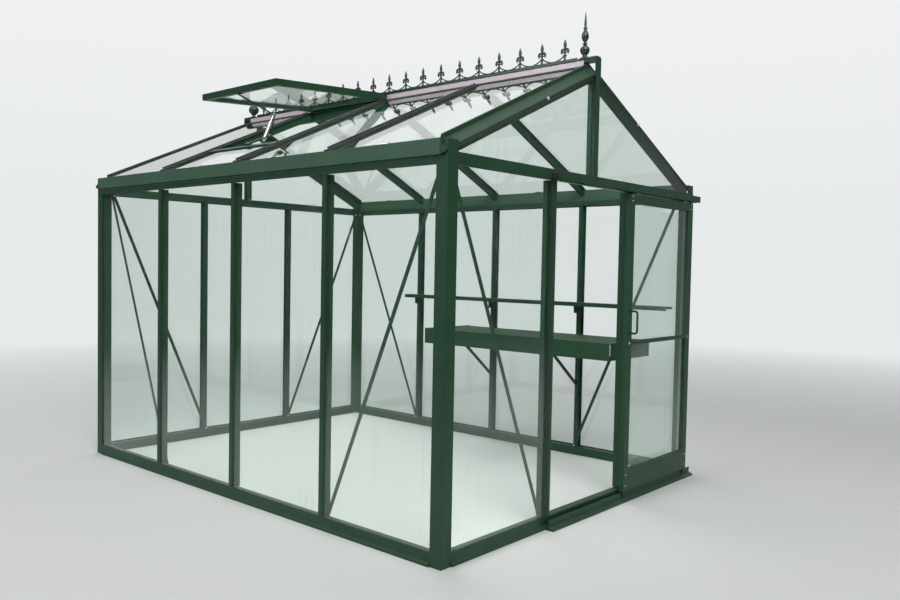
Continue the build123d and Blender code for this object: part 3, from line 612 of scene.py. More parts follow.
def build_row_tree():
    tree, given, result = new_tree("row_of_pieces", [
        ("Piece", "Object", None), ("Count", "Int", 4), ("Start", "Vector", (0, 0, 0)),
        ("Step", "Vector", (0, 0.745, 0)), ("Finish", "Material", None)])
    both = put(tree, "GeometryNodeJoinGeometry")
    tree.links.new(row(tree, given, given["Piece"], given["Count"]), both.inputs[0])
    tree.links.new(given["Geometry"], both.inputs[0])
    return close_tree(tree, result, both.outputs[0], given["Finish"], False)


bead_tree, fitting_tree, row_tree = build_bead_tree(), build_fitting_tree(), build_row_tree()
print("trees", bead_tree.name, fitting_tree.name, row_tree.name)

# %% [markdown]
# ## Where things are on the walls and the roof
# A screw on the left wall and one on the gable differ only in which way the wall runs. Two small
# functions turn "so far along, so far out, so high" into a place, and the same for the roof slopes
# by distance down from the ridge and height above the glass.

# %% Places on the house
X, Y, Z = Vector((1, 0, 0)), Vector((0, 1, 0)), Vector((0, 0, 1))
walls = {"front": (Vector((0, 0, 0)), X, -Y), "rear": (Vector((0, length, 0)), X, Y),
         "left": (Vector((-half, 0, 0)), Y, -X), "right": (Vector((half, 0, 0)), Y, X)}


def on_wall(wall, along, out, height):
    start, run, outward = walls[wall]
    return start + run * along + outward * out + Z * height


def slope_axes(side):
    """Down the slope and out of it, for the right (1) or left (-1) slope."""
    return Vector((side * cos(pitch), 0, -sin(pitch))), Vector((side * sin(pitch), 0, cos(pitch)))


def on_roof(side, y, across, rise):
    """Point by its level distance from the ridge line and its height above the glass's middle."""
    _, outward = slope_axes(side)
    return Vector((side * across, y, apex - across * tan(pitch))) + outward * rise


def sight_sides(wall):
    """Left and right edge of what shows of each pane of a wall, between bars or posts."""
    if wall == "front":
        return [(-half + post_in, -bay / 2 - jamb_half), (bay / 2 + jamb_half, half - post_in)]
    first, count = (-half, 3) if wall == "rear" else (0.0, 4)
    sides = []
    for i in range(count):
        low = first + bay * i + (post_in if i == 0 else mullion_half)
        high = first + bay * (i + 1) - (post_in if i == count - 1 else mullion_half)
        sides.append((low, high))
    return sides


print("panes", {wall: len(sight_sides(wall)) for wall in walls})

# %% [markdown]
# ## Rubber round every pane
# A bead of black rubber is pressed between each bar's flange and the glass. From a few steps away
# it is the thin dark line that makes glass look held rather than stuck on. It follows edges, so
# each pane gives a loop of edges and the bead tree sweeps a small circle along all of them.

# %% Glazing beads
bead = 0.0024
on_glass = glass_face + bead * 0.5


def rubber_along(name, lines, body):
    """Sweep the bead along the lines and fit it to a body."""
    run_tree(line_object(name, lines), bead_tree,
             {"Radius": bead, "Sides": 6, "Finish": black_rubber}, body)


def rectangle(x0, x1, y0, y1):
    return (x0, y0), (x1, y0), (x1, y1), (x0, y1)


def wall_loops():
    loops = []
    for wall in walls:
        for low, high in sight_sides(wall):
            corners = rectangle(low, high, sill_top, beam_low)
            loops.append(([on_wall(wall, a, on_glass, h) for a, h in corners], True))
    return loops


def below_slope(across, drop):
    """Height on the gable of a line that runs under the roof glass."""
    return apex - across * tan(pitch) - drop / cos(pitch)


def gable_loops():
    side_end = half - post_in
    loops = []
    for wall in ("front", "rear"):
        for side in (-1, 1):
            corners = [(king_half, rail_top), (side_end, rail_top)]
            corners += [(a, below_slope(a, nose_low)) for a in (side_end, king_half)]
            loops.append(([on_wall(wall, side * a, on_glass, h) for a, h in corners], True))
    return loops


def roof_lines():
    """Beads down the slopes; beside the open vent they start below its transom."""
    lines = []
    rise = glass_thick / 2 + bead * 0.5
    head, below_vent = 0.043, 0.83
    gable_foot, foot = half - 0.004, half + glass_foot - 0.002
    for side in (-1, 1):
        for y in (rim_back + bead * 0.5, length - rim_back - bead * 0.5):
            lines.append(([on_roof(side, y, a, rise) for a in (head, gable_foot)], False))
        for y in [bay * i + k * mullion_half for i in (1, 2, 3) for k in (-1, 1)]:
            start = below_vent if side == -1 and 2 * bay < y < 3 * bay else head
            lines.append(([on_roof(side, y, a, rise) for a in (start, foot)], False))
    return lines


rubber_along("glazing_beads", wall_loops() + gable_loops() + roof_lines(), "house")

# %% [markdown]
# ## Rubber on the sliding door and the roof vent
# The door's beads move with the door, so they are an object of their own. The vent leaf is tilted:
# its beads are written flat in the leaf's own frame and turned by the same matrix as its hinge.

# %% Door and vent beads
stile_low, stile_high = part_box("door_stiles")
stile_face = 0.050
mid_low, mid_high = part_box("door_mid_rail")
door_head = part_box("door_top_rail")[0].z
kick_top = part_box("door_kick_panel")[1].z
door_sides = (stile_low.x + stile_face, stile_high.x - stile_face)
door_loops = []
for low, high in ((kick_top, mid_low.z), (mid_high.z, door_head)):
    for y in (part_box("door_glass")[0].y - bead * 0.5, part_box("door_glass")[1].y + bead * 0.5):
        door_loops.append(([Vector((x, y, z)) for x, z in rectangle(*door_sides, low, high)], True))
rubber_along("door_beads", door_loops, "door")

vent_droop, vent_rail, vent_length = radians(4.0), 0.030, 0.850
hinge_drop, hinge_across, leaf_gap = 0.020, 0.0215, 0.005
vent_middle = 2.5 * bay
hinge = Vector((-hinge_across, vent_middle, ridge_top - hinge_drop))
leaf_turn = Matrix.Translation(hinge) @ Matrix.Rotation(-vent_droop, 4, "Y")
leaf_reach = bay / 2 - leaf_gap - vent_rail
leaf_loops = []
for rise in (-1, 1):
    z = rise * (glass_thick / 2 + bead * 0.5)
    corners = ((-vent_rail, -leaf_reach), (-vent_rail, leaf_reach),
               (vent_rail - vent_length, leaf_reach), (vent_rail - vent_length, -leaf_reach))
    leaf_loops.append(([leaf_turn @ Vector((x, y, z)) for x, y in corners], True))
rubber_along("vent_beads", leaf_loops, "house")

# %% [markdown]
# ## Raised edge of the vent
# A thin leaf needs a stiff rim. Its upstand runs along both sides and the foot, where it also sheds
# the rain, and leaves out the hinge side, which has to turn under the ridge. It is built flat and
# turned by the leaf's matrix, like the beads.

# %% Raised edge of the vent
def vent_edge():
    """Upstand along three sides of the leaf."""
    low, high, wide, back, soft, joint = 0.0141, 0.0235, 0.010, 0.012, 0.0012, 0.0005
    outer, foot = bay / 2 - 0.0052, 0.0002 - vent_length
    inner = outer - wide
    bm = bmesh.new()
    for side in (-1, 1):
        y0, y1 = sorted((side * outer, side * inner))
        slab(bm, (foot, y0, low), (-back, y1, high), soft, leaf_turn)
    slab(bm, (foot, joint - inner, low), (foot + wide, inner - joint, high), soft, leaf_turn)
    return as_object("vent_edge", bm)


fit(vent_edge(), frame_green, "house")

# %% [markdown]
# ## Screws and bolts
# Bars are joined by pan-head screws outside and by hexagon nuts inside. One head of each kind is
# made, and the fitting tree sets it on points that carry the way it faces, with a turn
# picked from a fixed seed, because no fitter leaves all the heads turned alike.

# %% One screw and one nut
def in_mm(points):
    return [point * 0.001 for point in points]


def screw_head(name):
    """Pan head of 4.5 mm radius with a round recess."""
    bm = bmesh.new()
    outline = ((4.5, 0.0), (4.5, 0.9), (4.1, 1.9), (3.1, 2.6), (2.1, 2.8), (2.0, 2.75), (1.8, 1.5))
    ring_tube(bm, [in_mm(circle(radius, height, 12)) for radius, height in outline])
    return as_object(name, bm)


def hex_nut(name):
    """Hexagon nut of 10 mm across flats with the end of its bolt."""
    bm = bmesh.new()
    for radius, low, high, steps in ((5.8, 0.0, 4.6, 6), (3.0, 4.6, 7.0, 10)):
        outline = ((radius, low), (radius, high - 0.4), (radius * 0.9, high))
        ring_tube(bm, [in_mm(circle(wide, height, steps)) for wide, height in outline])
    return as_object(name, bm)


def fasten(name, places, piece, finish, seed, body):
    """Set one kind of head on the points and fit them to a body."""
    run_tree(point_object(name, places), fitting_tree,
             {"Piece": piece, "Finish": finish, "Seed": seed}, body)


screw, nut = screw_head("one_screw"), hex_nut("one_nut")
print("screw faces", len(screw.data.polygons), "nut faces", len(nut.data.polygons))

# %% Places of the screws on the house
small_screw, board_bolt = 0.9, 1.9  # sizes against the head made above


def outside(wall, along, height, out=frame_out, amount=small_screw):
    """Place, way and size of a head on the outer face of a wall."""
    return on_wall(wall, along, out, height), walls[wall][2], amount


def wall_screws():
    """At both ends of each bar, up both edges of each corner and at the ends of the sills."""
    from_end, from_arris = 0.022, 0.004
    post_heights, sill_height = (0.10, 0.62, 1.14, beam_low - 0.05), 0.040
    places = []
    for wall in walls:
        first, count = (-half, 3) if wall in ("front", "rear") else (0.0, 4)
        for along in [first + bay * i for i in range(1, count)]:
            for height in (sill_top + from_end, beam_low - from_end):
                places.append(outside(wall, along, height))
        for end, way in ((first, 1), (first + bay * count, -1)):
            for height in post_heights:
                places.append(outside(wall, end + way * from_arris, height))
            places.append(outside(wall, end + way * (post_in + from_end), sill_height))
    return places


def board_bolts():
    """One bright bolt on the nose of each bargeboard, which carries the joint behind it."""
    across = 0.438
    height = below_slope(across, nose_low - 0.005)
    return [outside(wall, side * across, height, nose_front, board_bolt)
            for wall in ("front", "rear") for side in (-1, 1)]


def gable_screws():
    """On the corners, the ends of the cross rail, and up the king post."""
    corner_in, corner_up, rail_in = 0.003, 0.072, 0.075
    rail_middle = (rail_low + rail_top) / 2
    places = []
    for wall in ("front", "rear"):
        for side in (-1, 1):
            places.append(outside(wall, side * (half - corner_in), beam_low + corner_up))
            places.append(outside(wall, side * (half - rail_in), rail_middle, amount=1.0))
        for height in (rail_top + 0.03, apex - 0.05, apex + 0.012):
            places.append(outside(wall, 0, height))
    return places


def track_screws():
    """Six along the head track's hood and six along the threshold."""
    low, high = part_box("door_head_track")
    sill_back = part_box("door_floor_track")[1].y
    count, from_end, track_face = 6, 0.06, 0.018
    places = []
    for i in range(count):
        x = low.x + from_end + i * (high.x - low.x - 2 * from_end) / (count - 1)
        places.append(((x, low.y, high.z - 0.016), -Y, small_screw))
        places.append(((x, sill_back - 0.012, track_face), Z, 0.8))
    return places


fasten("frame_screws", wall_screws() + gable_screws() + track_screws(), screw, frame_green, 3,
       "house")
fasten("board_bolts", board_bolts(), screw, zinc, 6, "house")

# %% [markdown]
# ## Nuts inside, on the braces and the bench
# The flat braces are bolted through the bars, so each end shows a nut on the room side. The bench
# arms hang on two bolts at every bar. These are seen through the glass and through the open door.

# %% Inside nuts
def brace_nuts():
    """At both ends of each brace, a little way in along its flat bar."""
    inside, bar_in, along_bar, down_bar = 0.0295, 0.011, 0.0086, 0.02
    top = (post_in + bar_in + along_bar, beam_low + 0.018 - down_bar)
    foot = (bay + bar_in - along_bar, 0.045 + down_bar)
    places = []
    for wall, corners in (("left", (0, 1)), ("right", (0, 1)), ("front", (0,)), ("rear", (0, 1))):
        first, total = (0.0, length) if wall in ("left", "right") else (-half, 2 * half)
        for corner in corners:
            for along, height in (top, foot):
                distance = first + (total - along if corner else along)
                places.append((on_wall(wall, distance, -inside, height), -walls[wall][2], 1.0))
    return places


def bench_nuts():
    """Two bolts through both cheeks of each bracket's arm."""
    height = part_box("bench_brackets")[1].z - 0.015
    cheek = 0.0125
    places = []
    for y in (bay, 2 * bay):
        for x in (half - 0.045, half - 0.075):
            for side in (-1, 1):
                places.append(((x, y + side * cheek, height), Y * side, 0.85))
    return places


fasten("brace_nuts", brace_nuts() + bench_nuts(), nut, zinc, 8, "house")

# %% [markdown]
# ## Castings on the ridge
# The cresting is cast in short lengths: a flat strip, a fleur every 146 mm, and a hanging rib
# between each pair. A cut-out plate would show square edges. Real leaves are fat in the middle and
# thin at the rim, so each leaf here is an oval section that swells and narrows along a curved path.
# Fleur and rib are made once, and a tree of their own sets them along the ridge.

# %% One fleur and one hanging rib
def oval_leaf(bm, spine, widths, thick, sides=10):
    """A leaf in the plane of the ridge: its spine is (y, z) points, with half widths in metres."""
    rings = []
    for i, ((y, z), width) in enumerate(zip(spine, widths)):
        (y1, z1), (y0, z0) = spine[min(i + 1, len(spine) - 1)], spine[max(i - 1, 0)]
        tangent = Vector((0, y1 - y0, z1 - z0)).normalized()
        across = Vector((0, -tangent.z, tangent.y))
        depth = min(thick, width * 1.1)
        rings.append([Vector((0, y, z)) + across * width * cos(a) + X * depth * sin(a)
                      for a in (2 * pi * k / sides for k in range(sides))])
    ring_tube(bm, rings)


def grown_leaf(bm, stations, thick, steps=4):
    """A leaf from a few (y, z, half width) stations, made to flow."""
    smooth = flowing(stations, steps)
    oval_leaf(bm, [(y, z) for y, z, _ in smooth], [max(w, 0.0002) for _, _, w in smooth], thick)


def make_fleur():
    """Stem, tip, two pairs of curled side leaves and the band that ties them."""
    bm = bmesh.new()
    grown_leaf(bm, [(0, 0.010, 0.0125), (0, 0.022, 0.0080), (0, 0.036, 0.0056),
                    (0, 0.056, 0.0052)], 0.0040)
    grown_leaf(bm, [(0, 0.060, 0.0052), (0, 0.074, 0.0046), (0, 0.088, 0.0090), (0, 0.098, 0.0108),
                    (0, 0.112, 0.0070), (0, 0.127, 0.0004)], 0.0044)
    for side in (-1, 1):
        grown_leaf(bm, [(side * 0.001, 0.066, 0.0040), (side * 0.009, 0.0745, 0.0062),
                        (side * 0.0165, 0.0722, 0.0074), (side * 0.0205, 0.0620, 0.0066),
                        (side * 0.0195, 0.0480, 0.0006)], 0.0044)
        grown_leaf(bm, [(side * 0.002, 0.046, 0.0024), (side * 0.008, 0.042, 0.0036),
                        (side * 0.0125, 0.034, 0.0004)], 0.0030, 3)
    grown_leaf(bm, [(-0.0145, 0.0585, 0.0012), (-0.009, 0.0585, 0.0040), (0.009, 0.0585, 0.0040),
                    (0.0145, 0.0585, 0.0012)], 0.0050, 3)
    return as_object("one_fleur", bm, True)


fleur_count, fleur_margin = 19, 0.176
fleur_step = (length - 2 * fleur_margin) / (fleur_count - 1)


def make_rib():
    """Rib that hangs from one stem to the next, as a shallow curve."""
    bm = bmesh.new()
    path = []
    for i in range(17):
        share = i / 16
        sag = 4 * share * (1 - share)
        path.append(Vector((0, fleur_step * share, 0.0435 - 0.0265 * sag)))
    round_bar(bm, path, 0.0036, 8)
    return as_object("one_rib", bm, True)


fleur, rib = make_fleur(), make_rib()
print("fleur faces", len(fleur.data.polygons), "rib faces", len(rib.data.polygons))

# %% Cresting along the ridge
def build_cresting_tree():
    tree, given, result = new_tree("cresting_run", [
        ("Fleur", "Object", None), ("Rib", "Object", None), ("Count", "Int", 19),
        ("Start", "Vector", (0, 0, 0)), ("Step", "Vector", (0, 0.15, 0)),
        ("Finish", "Material", None)])
    both = put(tree, "GeometryNodeJoinGeometry")
    fewer = maths(tree, "SUBTRACT", given["Count"], 1.0)
    for label, count in (("Fleur", given["Count"]), ("Rib", fewer)):
        tree.links.new(row(tree, given, given[label], count), both.inputs[0])
    tree.links.new(given["Geometry"], both.inputs[0])
    return close_tree(tree, result, both.outputs[0], given["Finish"], True)


cresting_low, cresting_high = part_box("ridge_cresting")
strip_half, strip_tall, bead_up, end_in = 0.004, 0.0155, 0.0148, 0.001
bm = bmesh.new()
slab(bm, (-strip_half, cresting_low.y, cresting_low.z),
     (strip_half, cresting_high.y, cresting_low.z + strip_tall), 0.0008)
round_bar(bm, [Vector((0, y, cresting_low.z + bead_up))
               for y in (cresting_low.y + end_in, cresting_high.y - end_in)], 0.0046, 10)
cresting = as_object("cresting", bm)
run_tree(cresting, build_cresting_tree(), {
    "Fleur": fleur, "Rib": rib, "Count": fleur_count, "Start": (0, fleur_margin, cresting_low.z),
    "Step": (0, fleur_step, 0), "Finish": cast_green}, "house")
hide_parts("ridge_cresting")

# %% [markdown]
# ## Bare strips along the ridge and the roof bars
# Between the green cap and the glass the side of the ridge is covered by a plain flat strip, and
# each roof bar has a narrow upstand along its middle. Both are bare aluminium: the ridge's strip
# is pale beside the paint, and the upstands are dark. Bevelled slabs are all it
# takes; on the vent's slope the ridge strip stops on both sides of the vent, whose hinge needs
# the room.

# %% Ridge strips
def ridge_strips():
    """Flat strips on both sides of the ridge, just clear of its face."""
    low, high, inner, outer = apex - 0.0018, ridge_top - 0.0056, 0.0203, 0.0216
    bm = bmesh.new()
    near, far = rim_back + 0.004, length - rim_back - 0.004
    for side, start, end in ((1, near, far), (-1, near, 2 * bay), (-1, 3 * bay, far)):
        x0, x1 = sorted((side * inner, side * outer))
        slab(bm, (x0, start, low), (x1, end, high), 0.0004)
    return as_object("ridge_strips", bm)


def bar_upstands():
    """Narrow rib on top of each roof bar, from the ridge's wing to the foot of the glass."""
    bm = bmesh.new()
    head, foot, bar_top, rib_half, rib_tall = 0.046, half + 0.004, 0.0102, 0.0045, 0.0100
    reach = (foot - head) / cos(pitch)
    for side in (-1, 1):
        down, out = slope_axes(side)
        for i in (1, 2, 3):
            start = on_roof(side, bay * i, head, bar_top)
            slab(bm, (0, -rib_half, 0), (reach, rib_half, rib_tall), 0.0008,
                 turned_to(start, down, Y, out))
    return as_object("bar_upstands", bm)


fit(bar_upstands(), dark_aluminium, "house")
fit(ridge_strips(), dull_aluminium, "house")

# %% [markdown]
# ## Finials
# Over the door stands a turned spike with two bulbs, and at the far end a ball. Both are shapes of
# revolution, so a lathe outline is the natural way. A few stations are enough, because the outline
# flows through them, and forty steps round keep the rim of the ball smooth.

# %% Turned finials
finial_low, finial_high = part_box("ridge_finials")
saddle_top = finial_low.z + 0.007
finial_y = 0.054


def make_finials():
    """Spike and ball, each from its outline, on two flat saddles."""
    bm = bmesh.new()
    bulb, tall = 0.0249, finial_high.z - saddle_top - 0.0004
    shares = [(0.8, 0), (0.78, 0.02), (0.56, 0.05), (0.52, 0.08), (0.78, 0.11), (0.97, 0.15),
              (1, 0.19), (0.88, 0.235), (0.6, 0.265), (0.36, 0.29), (0.35, 0.3), (0.52, 0.315),
              (0.52, 0.325), (0.33, 0.345), (0.36, 0.37), (0.56, 0.4), (0.73, 0.45), (0.76, 0.49),
              (0.68, 0.54), (0.48, 0.585), (0.32, 0.62), (0.33, 0.635), (0.45, 0.65), (0.44, 0.66),
              (0.28, 0.69), (0.24, 0.79), (0.16, 0.9), (0.07, 1)]
    outline = [(bulb * r, tall * z) for r, z in flowing(shares, 3)]
    turned_shape(bm, outline, Vector((0, finial_y, saddle_top)))
    ball, stem = 0.0368, 0.016
    outline = [(ball * 0.55, 0), (ball * 0.52, 0.003), (ball * 0.3, 0.010)]
    outline += [(ball * sin(radians(a)), stem + ball - ball * cos(radians(a)))
                for a in range(24, 159, 6)]
    outline += [(ball * r, stem + 2 * ball + z)
                for r, z in ((0.2, -0.001), (0.12, 0.010), (0.05, 0.0265))]
    turned_shape(bm, outline, Vector((0, length - finial_y, saddle_top)))
    saddle_half, saddle_end = 0.022, 0.080
    for low, high in ((finial_low.y, saddle_end), (length - saddle_end, finial_high.y)):
        slab(bm, (-saddle_half, low, finial_low.z), (saddle_half, high, saddle_top), 0.0015)
    return as_object("finials", bm, True)


finials = make_finials()
fit(finials, cast_green, "house")
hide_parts("ridge_finials")
saddle_screws = [((side * 0.0145, y, saddle_top), Z, small_screw)
                 for y in (-0.018, 0.0745, length - 0.0745, length + 0.018) for side in (-1, 1)]
fasten("saddle_screws", saddle_screws, screw, zinc, 5, "house")

# %% [markdown]
# ## Clips at the foot of the roof glass
# Roof panes would slide into the gutter without a clip at their foot. There is one in the middle
# of each bay, a bright bent strip, and a dark cap closes the end of each roof bar. Both are made
# once for each slope, in the plane of the door gable, and the row tree repeats them bay by bay.
# Each block is written as two corners, so far down the slope and out of the roof from the foot of
# the glass, with its half width and the softness of its edges.

# %% Pane clips and bar caps
clip_blocks = (((-0.020, 0.0022), (0.0022, 0.0036), 0.027, 0.0004),
               ((0.0008, -0.0100), (0.0022, 0.0036), 0.027, 0.0004),
               ((-0.020, 0.0022), (-0.0180, 0.0052), 0.027, 0.0004))
cap_blocks = (((-0.010, -0.0050), (0.0070, 0.0098), 0.0165, 0.0015),
              ((-0.004, -0.0140), (0.0050, -0.0045), 0.0090, 0.0012))


def at_glass_foot(name, blocks, side):
    """Blocks with x down the slope, y along the house and z out of the roof."""
    down, out = slope_axes(side)
    turn = turned_to(on_roof(side, 0, half + glass_foot, 0), down, Y, out)
    bm = bmesh.new()
    for (x0, z0), (x1, z1), half_wide, soft in blocks:
        slab(bm, (x0, -half_wide, z0), (x1, half_wide, z1), soft, turn)
    return as_object(name, bm)


def repeat(name, piece, count, start, step, finish):
    """A row of one piece on the house."""
    made = bare_object(name)
    run_tree(made, row_tree, {"Piece": piece, "Count": count, "Start": start, "Step": step,
                              "Finish": finish}, "house")
    return made


for side, word in ((-1, "left"), (1, "right")):
    clip = at_glass_foot(f"one_clip_{word}", clip_blocks, side)
    repeat(f"pane_clips_{word}", clip, 4, (0, bay / 2, 0), (0, bay, 0), mill_aluminium)
    cap = at_glass_foot(f"one_cap_{word}", cap_blocks, side)
    repeat(f"bar_caps_{word}", cap, 3, (0, bay, 0), (0, bay, 0), black_rubber)

# %% [markdown]
# ## Fluted bench slats
# Bench slats of this kind are extruded with shallow flutes on top, which drain water and stiffen
# the strip. A plain strip would need a bump map to fake them, but the flutes are broad enough to
# model: the section is a row of small arcs, drawn once and run along the slat's length.

# %% Bench slats
def fluted_slat(low, high, width, flutes=6):
    """A channel open below, with arcs along its top."""
    bm = bmesh.new()
    top, flute, deep, wall, under = high.z, width / flutes, 0.0015, 0.003, 0.004
    section = [(0, low.z), (0, top - deep)]
    for i in range(flutes):
        for k in range(1, 6):
            share = k / 6
            section.append((flute * (i + share), top - deep * (1 - sin(pi * share))))
        section.append((flute * (i + 1), top - deep))
    section += [(width, low.z), (width - wall, low.z), (width - wall, top - under),
                (wall, top - under), (wall, low.z)]
    ring_tube(bm, [[Vector((low.x + x, y, z)) for x, z in section] for y in (low.y, high.y)])
    return as_object("one_slat", bm)


slats_low, slats_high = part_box("bench_slats")
slat_count, slat_gap = 6, 0.015
slat_width = (slats_high.x - slats_low.x - slat_gap * (slat_count - 1)) / slat_count
slats = repeat("fluted_slats", fluted_slat(slats_low, slats_high, slat_width), slat_count,
               (0, 0, 0), (slat_width + slat_gap, 0, 0), frame_green)
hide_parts("bench_slats")

# %% [markdown]
# ## The opener of the roof vent
# A wax cylinder pushes the vent open when the house warms up. It is the one bright thing in the
# roof: a silver tube between dark arms. Its arms are thin plates in pairs with bolts through them,
# so plates, tube and bolts are modelled apart, on the same pivots as the solid one.

# %% Vent opener
transom_across = hinge_across + vent_length * cos(pitch) + leaf_gap


def above_slope(reach, rise=0.0):
    """Point over the left slope, by its level distance from the transom towards the ridge."""
    across = transom_across - reach
    return Vector((-across, vent_middle, apex - across * tan(pitch) + rise))


leaf_arm = vent_length - vent_rail / 2
leaf_joint = hinge + Vector((-leaf_arm * cos(vent_droop), 0,
                             -leaf_arm * sin(vent_droop) - 0.014 / cos(vent_droop) - 0.0072))
arm_foot, arm_head = above_slope(0.006, 0.0195), above_slope(0.160, 0.0195)
knee, tube_foot = above_slope(0.187, 0.134), above_slope(0.118)


def plate(bm, start, end, width, thick, shift):
    """Flat link between two pivots, beside the middle plane by shift."""
    run = end - start
    turn = Matrix.Translation(start + Y * shift) @ run.to_track_quat("X", "Y").to_matrix().to_4x4()
    past = width * 0.4
    slab(bm, (-past, -thick / 2, -width / 2), (run.length + past, thick / 2, width / 2),
         min(thick, width) * 0.3, turn)


def make_arms():
    """Paired plates from the transom to the knee, the link to the leaf, and two feet."""
    bm = bmesh.new()
    for shift in (-0.0105, 0.0105):
        plate(bm, arm_foot + X * -0.004, arm_head, 0.016, 0.0025, shift)
        plate(bm, arm_head, knee, 0.012, 0.0025, shift * 1.3)
    plate(bm, knee, leaf_joint, 0.013, 0.006, 0.0)
    plate(bm, knee + (leaf_joint - knee) * 0.55, leaf_joint, 0.013, 0.003, 0.006)
    for joint, low, high in ((leaf_joint, (-0.016, -0.014, 0.0055), (0.016, 0.014, 0.0070)),
                             (arm_foot, (-0.010, -0.013, -0.0095), (0.014, 0.013, -0.0075))):
        slab(bm, joint + Vector(low), joint + Vector(high), 0.0006)
    return as_object("opener_arms", bm)


def make_cylinder():
    """Wax cylinder with its rod, and a bolt through each pivot."""
    bm = bmesh.new()
    run = knee - tube_foot
    turn = Matrix.Translation(tube_foot) @ run.to_track_quat("Z", "Y").to_matrix().to_4x4()
    rod, tube, collar = 0.0040, 0.0110, 0.0118
    outline = [(rod, -0.004), (0.0086, 0.000), (0.0086, 0.010), (tube, 0.013)]
    outline += [(radius, run.length * share) for radius, share in (
        (tube, 0.62), (collar, 0.63), (collar, 0.70), (0.0070, 0.72), (rod, 0.725), (rod, 1))]
    turned_shape(bm, outline, Vector((0, 0, 0)), 24)
    bmesh.ops.transform(bm, matrix=turn, verts=bm.verts)
    for centre, radius, wide in ((knee, 0.0075, 0.018), (arm_head, 0.0050, 0.016),
                                 (leaf_joint, 0.0038, 0.010), (arm_foot, 0.0045, 0.0145)):
        round_bar(bm, [centre - Y * wide, centre + Y * wide], radius, 14)
    return as_object("opener_cylinder", bm)


arms, cylinder = make_arms(), make_cylinder()
fit(arms, black_rubber, "house")
fit(cylinder, mill_aluminium, "house")
for piece in (arms, cylinder):
    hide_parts("vent_opener")
print("opener length", round((knee - tube_foot).length, 4))

# %% [markdown]
# ## The door's furniture
# The pull is a bent round bar with a rose at each end. Where the middle rail meets the stile there
# is one bright screw that the eye finds at once, and each rail is screwed through the stiles. All
# of it rides on the door, so it slides when the door does.

# %% Door pull, screws and track ends
def bent_pull():
    """A round bar bent twice, with a rose where it meets the stile at each end."""
    low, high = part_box("door_handle")
    rose = 0.0108
    x, face, out = (low.x + high.x) / 2, high.y, low.y + 0.006
    top, bottom, bend = high.z - rose, low.z + rose, 0.014
    path = [Vector((x, face, top))]
    for centre_z, start in ((top - bend, 90), (bottom + bend, 0)):
        for k in range(7):
            angle = radians(start - 15 * k)
            path.append(Vector((x, out + bend - bend * cos(angle), centre_z + bend * sin(angle))))
    path.append(Vector((x, face, bottom)))
    bm = bmesh.new()
    round_bar(bm, path, 0.0058, 14)
    for z in (top, bottom):
        loops = []
        for radius, depth in ((rose, 0.0), (rose, 0.0025), (0.0085, 0.0040), (0.0060, 0.0042)):
            loops.append([Vector((x + radius * cos(a), face - depth, z + radius * sin(a)))
                          for a in (2 * pi * i / 20 for i in range(20))])
        ring_tube(bm, loops)
    return as_object("door_pull", bm, True)


pull = bent_pull()
fit(pull, frame_green, "door")
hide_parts("door_handle")

mid_height, mid_in, rail_end_in, big_screw = (mid_low.z + mid_high.z) / 2, 0.024, 0.025, 1.5
rail_heights = (door_head + 0.012, door_head + 0.038, kick_top - 0.03, kick_top - 0.09)
door_places = [(stile_low.x + mid_in, mid_height, big_screw)]
door_places += [(x, z, small_screw) for x in (stile_low.x + rail_end_in, stile_high.x - rail_end_in)
                for z in rail_heights]
door_places.append((stile_high.x - mid_in, mid_height, small_screw))
fasten("door_screws", [((x, stile_low.y, z), -Y, amount) for x, z, amount in door_places],
       screw, zinc, 11, "door")

track_low, track_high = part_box("door_head_track")
bm = bmesh.new()
for x0, x1 in ((track_low.x - 0.003, track_low.x + 0.006),
               (track_high.x - 0.006, track_high.x + 0.002)):
    slab(bm, (x0, track_low.y, track_low.z + 0.001), (x1, track_high.y, track_high.z), 0.0022)
fit(as_object("track_ends", bm), black_rubber, "house")

# %% [markdown]
# ## Brush seals beside the doorway
# A strip of short pile on each jamb keeps the wind out behind the sliding door. It is thousands of
# hairs, which no one would place by hand: a tree walks along two lines, sets a tapered tuft every
# few millimetres and leans each one a little, from a fixed seed.

# %% Brush strips
def one_tuft():
    """A four-sided tuft of pile, 9.5 mm tall."""
    bm = bmesh.new()
    turned_shape(bm, ((0.0013, 0.0), (0.0011, 0.005), (0.0004, 0.0095)), Vector((0, 0, 0)), 4)
    return as_object("one_tuft", bm)


def build_pile_tree():
    tree, given, result = new_tree("pile_strip", [
        ("Tuft", "Object", None), ("Spacing", "Float", 0.003), ("Lean", "Float", 0.18),
        ("Seed", "Int", 4), ("Finish", "Material", None)])
    path = put(tree, "GeometryNodeMeshToCurve", {"Mesh": given["Geometry"]})
    steps = put(tree, "GeometryNodeResampleCurve", {
        "Curve": path.outputs[0], "Length": given["Spacing"]}, mode="LENGTH")
    less = times(tree, given["Lean"], -1.0)
    low, high = (put(tree, "ShaderNodeCombineXYZ", {"X": most, "Y": 0.0, "Z": most}).outputs[0]
                 for most in (less, given["Lean"]))
    lean = put(tree, "FunctionNodeRandomValue", {0: low, 1: high, "Seed": given["Seed"]},
               data_type="FLOAT_VECTOR")
    out = put(tree, "ShaderNodeVectorMath", {0: (pi / 2, 0.0, 0.0), 1: lean.outputs[0]},
              operation="ADD")
    turn = put(tree, "FunctionNodeEulerToRotation", {0: out.outputs[0]})
    placed = copies(tree, given["Tuft"], steps.outputs[0], Rotation=turn.outputs[0])
    return close_tree(tree, result, placed, given["Finish"], False)


